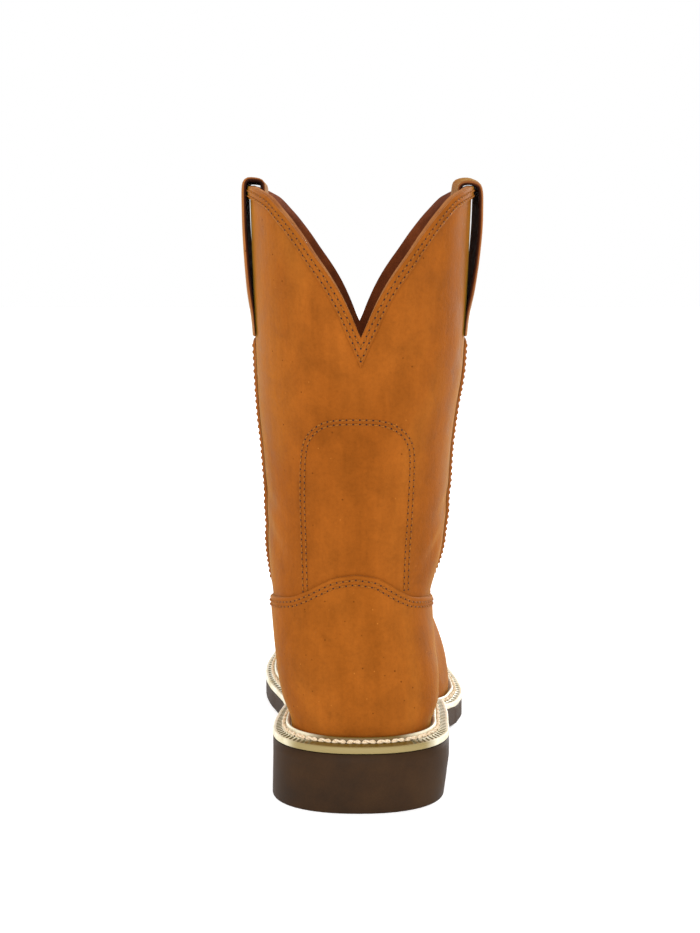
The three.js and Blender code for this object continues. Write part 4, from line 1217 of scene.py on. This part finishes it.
def button(sides=8):
    """A low dome for a needle hole; its dark colour is painted shade inside the hole."""
    points = [(math.cos(2 * math.pi * k / sides), math.sin(2 * math.pi * k / sides), -0.6)
              for k in range(sides)]
    points += [(0.7 * x, 0.7 * y, 0.25) for x, y, _ in points]
    faces = [(k, (k + 1) % sides, sides + (k + 1) % sides, sides + k) for k in range(sides)]
    faces.append(tuple(range(sides, 2 * sides)))
    faces.append(tuple(reversed(range(sides))))
    return np.array(points), faces


class Joined:
    """Copies of small shapes gathered into one mesh."""

    def __init__(self):
        self.points = []
        self.faces = []
        self.count = 0

    def add(self, points, faces):
        self.points.append(points)
        self.faces += [tuple(i + self.count for i in face) for face in faces]
        self.count += len(points)

    def make(self, name, material):
        return make_object(name, np.concatenate(self.points), self.faces, material)


STITCH = capsule()
DOME = button()


def sew(line, normals, threads, holes, closed=False):
    """Lay stitches and needle holes along a line on the leather; the holes are dark domes of painted shade.
    """
    both, length = evenly(np.concatenate([line, normals], axis=1), 2)
    count = max(2, round(length / STITCH_PITCH))
    spots, _ = evenly(np.concatenate([line, normals], axis=1), count + 1)
    place, up = spots[:, :3], unit(spots[:, 3:])
    for i in range(count):
        start, end = place[i], place[i + 1]
        along = end - start
        size = np.linalg.norm(along)
        along = along / size
        lift = unit(up[i] + up[i + 1])
        side = unit(np.cross(lift, along))
        lift = np.cross(along, side)
        local = STITCH[0]
        hump = STITCH_RADIUS * STITCH_HUMP * (1 - (2 * local[:, 0]) ** 2)
        raised = local[:, 2] * STITCH_RADIUS * STITCH_FLATNESS + hump - STITCH_SUNK
        made = ((start + end) / 2 + np.outer(local[:, 0] * (size - STITCH_GAP), along)
                + np.outer(local[:, 1] * STITCH_RADIUS, side) + np.outer(raised, lift))
        threads.add(made, STITCH[1])
    for i in range(count if closed else count + 1):
        forward = place[min(i + 1, count)] - place[max(i - 1, 0)]
        lift = up[i]
        forward = unit(forward - lift * (forward @ lift))
        side = np.cross(lift, forward)
        local = DOME[0]
        made = (place[i] + np.outer(local[:, 0] * HOLE_RADIUS, forward)
                + np.outer(local[:, 1] * HOLE_RADIUS, side)
                + np.outer(local[:, 2] * HOLE_RISE, lift))
        holes.add(made, DOME[1])


ROW_POINTS = 240


def rows_on(place_line, offset, threads, holes, closed=False):
    """Sew along a line given by turns and levels, on a face at an offset."""
    turn, level = place_line
    points, normals = offset_point(turn, level, np.full(np.shape(turn), offset))
    sew(points, normals, threads, holes, closed=closed)


def back_turn(x, z):
    """The turn near the back where the face at a height has a given x."""
    low = np.full(np.shape(x), -0.24)
    high = np.full(np.shape(x), 0.24)
    for _ in range(HALVINGS):
        middle = (low + high) / 2
        left = face_point(middle, level_at_height(middle, z))[..., 0] < x
        low = np.where(left, middle, low)
        high = np.where(left, high, middle)
    return (low + high) / 2


# The back panel's stitched outline, up from the counter, over its top and down: x and z in mm
BACK_PANEL = [
    (-25.8, 95.0), (-26.3, 113.0), (-26.9, 137.0), (-26.4, 155.0), (-24.5, 163.6), (-20.1, 169.0),
    (-13.6, 172.0), (-2.0, 172.8), (9.0, 172.0), (16.4, 168.8), (21.2, 163.4), (23.2, 154.5),
    (22.3, 128.0), (21.2, 110.0), (20.9, 95.6),
]


def inset_line(line, distance):
    """A line moved to its right-hand side by a distance."""
    run = unit(np.gradient(line, axis=0))
    return line + distance * np.stack([run[:, 1], -run[:, 0]], axis=1)


def overlay_edge_row(place, wall, row, threads, holes):
    """Sew along the top edge of a panel, at a distance below it."""
    along = np.linspace(0.015, 0.985, ROW_POINTS)
    turn, level = place(along, np.ones(along.shape))
    height = face_point(turn, level)[..., 2]
    step = face_point(turn[2:], level[2:]) - face_point(turn[:-2], level[:-2])
    slope = np.abs(step[:, 2]) / np.hypot(step[:, 0], step[:, 1])
    stretch = np.minimum(2.2, np.hypot(1, np.pad(slope, 1, mode="edge")))
    lower = level_at_height(turn, height - row * stretch)
    rows_on((turn, lower), CLEARANCE + wall, threads, holes)


def make_stitching():
    threads, holes = Joined(), Joined()
    for row in COLLAR_ROWS:
        turn = np.linspace(0, 1, 4 * ROW_POINTS)
        rows_on((turn, below_collar(turn, row)), CLEARANCE + BINDING_WALL, threads, holes, True)
    for row in COUNTER_ROWS:
        overlay_edge_row(counter_place, OVERLAY_WALL, row, threads, holes)
    for row in VAMP_ROWS:
        overlay_edge_row(vamp_place, OVERLAY_WALL, row, threads, holes)
    outline = spline(np.array(BACK_PANEL), 3 * ROW_POINTS)
    for row in BACK_PANEL_ROWS:
        line = inset_line(outline, row)
        turn = back_turn(line[:, 0], line[:, 1])
        rows_on((turn, level_at_height(turn, line[:, 1])), 0.0, threads, holes)
    for side in (1, -1):
        sew_side(side, threads, holes)
    for joined, name, material in ((threads, "stitching", THREAD), (holes, "needle_hole_shade", HOLE_SHADE)):
        piece = joined.make(name, material)


def sew_side(side, threads, holes):
    """The rows down a counter's front edge and along a side seam."""
    up = np.linspace(0.02, 0.95, ROW_POINTS)
    rise = CORNER_LEVEL * up
    for row in COUNTER_ROWS:
        edge = seam_turn(rise)
        turn = edge - turn_for(row, edge, rise)
        turn = turn if side > 0 else 1 - turn
        rows_on((turn, rise), CLEARANCE + OVERLAY_WALL, threads, holes)
    for along in (0.22, 0.78):
        heights = np.linspace(0.01, 0.99, ROW_POINTS)
        turn, level = side_seam_place(side)(np.full(heights.shape, along), heights)
        rows_on((turn, level), CLEARANCE + SEAM_WALL, threads, holes)


# Welt

def welt_section(y):
    """Inset, height and ribbing round the welt's section: edge, ribbed ledge, channel and lip."""
    lip = welt_margin(y) - CLEARANCE
    foot = lip - WELT_LIP_WIDTH
    inner = feather_inset(y) + UPPER_WALL + 0.1
    body = WELT_THICKNESS
    return [
        (inner, -body, 0.0), (0.35, -body, 0.0), (0.06, -body + 0.3, 0.0), (0.0, -body / 2, 0.0),
        (0.05, -0.45, 0.0), (0.3, -0.1, 0.0), (0.7, 0.0, 0.0), (1.1, 0.03, 0.25), (1.5, 0.08, 1.0),
        (lerp(1.4, foot, 0.5), 0.4 * WELT_RISE, 1.0), (foot - 1.5, 0.7 * WELT_RISE, 1.0),
        (foot - 1.1, 0.75 * WELT_RISE, 0.3), (foot - 0.7, 0.4 * WELT_RISE, 0.0),
        (foot - 0.1, 0.4 * WELT_RISE, 0.0), (foot + 0.1, WELT_RISE, 0.0),
        (foot + 0.3, WELT_LIP_HEIGHT - LIP_LEAN / 2, 0.0), (foot + 0.6, WELT_LIP_HEIGHT, 0.0),
        (lip - LIP_LEAN, WELT_LIP_HEIGHT + 0.05, 0.0), (lip - 0.6, WELT_LIP_HEIGHT - 0.8, 0.0),
        (lip, 0.0, 0.0), (inner, 0.0, 0.0),
    ]


# Height of one rib from its crest round to the next, as shares of its depth
RIB_WAVE = (0.0, -0.1, -0.85, -0.95, -0.25)


def rib_turns():
    """Turns round the welt with one group of points for each rib, and how many ribs there are."""
    dense = np.linspace(0, 1, OUTLINE_STEPS)
    x, y = sole_point(dense, 2.0)
    pitch = lerp(HEEL_RIB_PITCH, FOREPART_RIB_PITCH, smooth(y, WAIST_START, WAIST_END))
    steps = np.hypot(np.diff(x), np.diff(y)) / ((pitch[1:] + pitch[:-1]) / 2)
    run = np.concatenate([[0], np.cumsum(steps)])
    ribs = round(run[-1])
    wanted = np.linspace(0, run[-1], ribs * len(RIB_WAVE), endpoint=False)
    return np.interp(wanted, run, dense), ribs


def turns_evenly(inset, count):
    """Turns at even distances round the sole's outline."""
    dense = np.linspace(0, 1, OUTLINE_STEPS)
    x, y = sole_point(dense, inset)
    run = np.concatenate([[0], np.cumsum(np.hypot(np.diff(x), np.diff(y)))])
    return np.interp(np.linspace(0, run[-1], count, endpoint=False), run, dense)


def outline_length(inset):
    x, y = sole_point(np.linspace(0, 1, OUTLINE_STEPS), inset)
    return float(np.sum(np.hypot(np.diff(x), np.diff(y))))


# The ribbed rows of the welt's section, from the first to the last, and how many make its rim
RIBBED_ROWS = (8, 10)
RIM_ROWS = 7


def make_welt():
    turns, ribs = rib_turns()
    wave = np.tile(RIB_WAVE, ribs)
    columns = len(turns)
    edge = station_y(turn_share(turns), 0.0, SOLE_LENGTH)
    shown = smooth(edge, 3.0, 7.0)
    section = welt_section(edge)
    grid = np.empty((len(section), columns, 3))
    for k, (inset, up, ribbed) in enumerate(section):
        x, y = sole_point(turns, np.broadcast_to(inset, edge.shape))
        z = welt_top(y) + up + ribbed * RIB_DEPTH * wave * shown
        grid[k] = np.stack([x, y, z], axis=-1)
    rows = len(section)
    faces = grid_faces(rows, columns, 0, ring=True)
    dark = np.zeros(len(faces) + columns, dtype=np.int32)
    dark[:RIM_ROWS * columns] = 2
    # Faces low in the rib grooves get the painted groove shade.
    low = (wave + np.roll(wave, -1)) / 2 * shown < -0.45
    for row in range(*RIBBED_ROWS):
        dark[row * columns:(row + 1) * columns] = low
    for c in range(columns):
        n = (c + 1) % columns
        faces.append(((rows - 1) * columns + c, (rows - 1) * columns + n, n, c))
    piece = make_object("welt_strip", grid.reshape(-1, 3), faces, WELT)
    piece.data.materials.append(WELT_SHADE)
    piece.data.materials.append(WELT_RIM)
    piece.data.polygons.foreach_set("material_index", dark)
    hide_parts("welt")


def make_welt_stitching():
    """A chain of two-ply twisted stitches in the channel at the foot of the lip."""
    count = round(outline_length(LOCKSTITCH_INSET) / LOCKSTITCH_PITCH)
    joined, holes = Joined(), Joined()
    rings, sides = 13, 6
    turns = turns_evenly(LOCKSTITCH_INSET, count * (rings - 1))
    edge = station_y(turn_share(turns), 0.0, SOLE_LENGTH)
    inset = welt_margin(edge) - CLEARANCE - WELT_LIP_WIDTH - LOCKSTITCH_GAP
    x, y = sole_point(turns, inset)
    spine = np.stack([x, y, welt_top(y) + WELT_RISE + 0.5], axis=-1)
    total = len(spine)
    for i in range(count):
        picks = [(i * (rings - 1) + k) % total for k in range(rings)]
        for ply in (0, 1):
            twisted_ply(spine[picks], ply, sides, joined)
        forward = unit(spine[picks[1]] - spine[picks[0]])
        side = unit(np.cross([0.0, 0.0, 1.0], forward))
        # A dark dome sunk at each stitch's end: painted shade in its needle hole.
        local = DOME[0] * 0.85
        made = (spine[picks[0]] - [0.0, 0.0, 0.75] + np.outer(local[:, 0], forward)
                + np.outer(local[:, 1], side) + np.outer(local[:, 2], [0.0, 0.0, 1.0]))
        holes.add(made, DOME[1])
    for gathered, name, material in (
        (joined, "welt_stitching", WELT_THREAD), (holes, "welt_hole_shade", HOLE_SHADE),
    ):
        piece = gathered.make(name, material)


def twisted_ply(path, ply, sides, joined):
    """One of the two plies of a stitch, thick in its middle and drawn down at its ends."""
    rings = len(path)
    along = unit(np.gradient(path, axis=0))
    lift = np.broadcast_to([0.0, 0.0, 1.0], along.shape)
    side = unit(np.cross(lift, along))
    lift = np.cross(along, side)
    share = np.linspace(0, 1, rings)
    fat = np.sqrt(np.clip(1 - (2 * share - 1) ** 4, 0.04, 1))
    angle = 2 * math.pi * (0.85 * share + ply / 2)
    orbit = 0.42 * LOCKSTITCH_RADIUS * fat
    centre = path + side * (orbit * np.cos(angle))[:, None] + lift * (orbit * np.sin(angle))[:, None]
    centre = centre - lift * (0.85 * LOCKSTITCH_RADIUS * (1 - fat))[:, None]
    radius = 0.62 * LOCKSTITCH_RADIUS * fat
    points = []
    for k in range(sides):
        turn = 2 * math.pi * k / sides
        points.append(centre + side * (radius * math.cos(turn))[:, None]
                      + lift * (radius * math.sin(turn))[:, None])
    joined.add(np.stack(points, axis=1).reshape(-1, 3), tube_faces(rings, sides))


# Outsole and heel

# How far the smooth skin of the sole's side lies outside the solids
SKIN = 0.15
SKIN_WALL = 1.2
EDGE_ROUND = 0.6
OUTSOLE_SKIN_COLUMNS = 420
HEEL_SKIN_COLUMNS = 240


def sole_ring(turns, inset, z):
    x, y = sole_point(turns, np.broadcast_to(inset, turns.shape))
    return np.stack([x, y, z(y)], axis=-1)


def ground(y):
    return np.zeros(np.shape(y))


def sole_skin(name, turns, inset, taper, lean, bottom, ring):
    """A thin smooth band over the side of a sole piece, its lower edge rounded."""
    section = [(SKIN_WALL, 1.0, 0.0)]
    section += [(0.0, share, 0.0) for share in (1.0, 5 / 6, 2 / 3, 1 / 2, 1 / 4)]
    section += [(EDGE_ROUND * (1 - math.sin(a)), 0.0, EDGE_ROUND * (1 - math.cos(a)))
                for a in np.linspace(math.pi / 2, 0, 5)]
    section.append((SKIN_WALL, 0.0, 0.0))
    rings = []
    for further, share, lift in section:
        fall = max(0.0, 1 - share * (HEEL_BLOCK + OUTSOLE_THICKNESS) / HEEL_BLOCK)
        own = inset + taper * fall + further

        def height(y, share=share, lift=lift):
            return lerp(bottom(y) + lift, outsole_top(y), share)

        ringed = sole_ring(turns, own, height)
        ringed[:, 0] -= lean * fall
        rings.append(ringed)
    grid = np.stack(rings)
    rows, columns = grid.shape[:2]
    faces = grid_faces(rows, columns, 0, ring, flip=True)
    for c in range(columns if ring else columns - 1):
        n = (c + 1) % columns
        faces.append(((rows - 1) * columns + c, c, n, (rows - 1) * columns + n))
    if not ring:
        faces.append(tuple(r * columns for r in range(rows)))
        faces.append(tuple(r * columns + columns - 1 for r in reversed(range(rows))))
    piece = make_object(name, grid.reshape(-1, 3), faces, RUBBER)


def turn_at(y):
    """The turn on the outer side where the sole's edge reaches a distance along."""
    dense = np.linspace(0, 0.5, 3001)
    return float(np.interp(y, station_y(turn_share(dense), 0.0, SOLE_LENGTH), dense))


def make_sole_skins():
    turns = np.linspace(0, 1, OUTSOLE_SKIN_COLUMNS, endpoint=False)
    sole_skin("outsole_side", turns, OUTSOLE_INSET - SKIN, 0.0, 0.0, tread_height, True)
    corner = turn_at(HEEL_LENGTH)
    heel_turns = np.linspace(-corner, corner, HEEL_SKIN_COLUMNS)
    sole_skin("heel_side", heel_turns, OUTSOLE_INSET - 2 * SKIN, HEEL_TAPER, HEEL_LEAN, ground, False)


def finish_cad_nodes():
    """The sole's solids and the insole are kept and get their materials."""
    for node, material in (("outsole", RUBBER), ("heel", RUBBER), ("insole", FOOTBED)):
        for piece in node_objects(node):
            piece.data.materials.clear()
            piece.data.materials.append(material)


def node_objects(name):
    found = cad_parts[name]
    return found if isinstance(found, (list, tuple)) else [found]


# Stage, light and camera: places and sizes in metres, powers in watts

FLOOR_SIZE = 8
FLOOR_GLOW = 0.3
WORLD_LIGHT = 1.0
LIGHTS = [
    {"name": "key", "place": (-0.1, -1.5, 0.8), "aim_height": 0.12, "size": (0.9, 0.9), "power": 12.5},
    {"name": "left_edge", "place": (-0.9, 1.4, 0.5), "aim_height": 0.14, "size": (0.5, 1.2), "power": 9},
    {"name": "right_edge", "place": (0.9, 1.4, 0.5), "aim_height": 0.14, "size": (0.5, 1.2), "power": 24},
]


def make_floor():
    bpy.ops.mesh.primitive_plane_add(size=FLOOR_SIZE, location=(0, 0, 0))
    floor = bpy.context.active_object
    floor.name = "floor"
    material, nodes, links, shader = new_material("floor_white")
    shader.inputs["Base Color"].default_value = (0.92, 0.92, 0.92, 1)
    shader.inputs["Roughness"].default_value = 0.9
    shader.inputs["Emission Color"].default_value = (1, 1, 1, 1)
    shader.inputs["Emission Strength"].default_value = FLOOR_GLOW
    floor.data.materials.append(material)


def add_light(name, place, aim_height, size, power):
    data = bpy.data.lights.new(name, "AREA")
    data.shape = "RECTANGLE"
    data.size, data.size_y = size
    data.energy = power
    light = bpy.data.objects.new(name, data)
    light.location = place
    direction = np.array([0.0, 0.0, aim_height]) - np.array(place, float)
    light.rotation_euler = mathutils.Vector(direction).to_track_quat("-Z", "Y").to_euler()
    bpy.context.scene.collection.objects.link(light)


def make_lights():
    world = bpy.data.worlds.new("white_room")
    bpy.context.scene.world = world
    world.use_nodes = True
    background = world.node_tree.nodes["Background"]
    background.inputs["Color"].default_value = (1, 1, 1, 1)
    background.inputs["Strength"].default_value = WORLD_LIGHT
    for light in LIGHTS:
        add_light(**light)


def make_camera():
    data = bpy.data.cameras.new("camera")
    data.sensor_fit = "VERTICAL"
    data.sensor_height = SENSOR_HEIGHT
    data.lens = CAMERA_LENS
    data.clip_end = 50
    camera = bpy.data.objects.new("camera", data)
    along = -(CAMERA_BEHIND + ORIGIN_ALONG)
    camera.location = (CAMERA_SIDE / METRE, along / METRE, CAMERA_HEIGHT / METRE)
    camera.rotation_euler = (math.radians(90 - CAMERA_PITCH), 0, 0)
    bpy.context.scene.collection.objects.link(camera)
    bpy.context.scene.camera = camera
    bpy.context.scene.view_settings.view_transform = "Standard"


make_camera()
make_floor()
make_lights()
make_upper()
make_panels()
make_strap(1, "lateral")
make_strap(-1, "medial")
make_stitching()
make_welt()
make_welt_stitching()
make_sole_skins()
finish_cad_nodes()


def plain(box):
    return [[float(value) for value in corner] for corner in box]
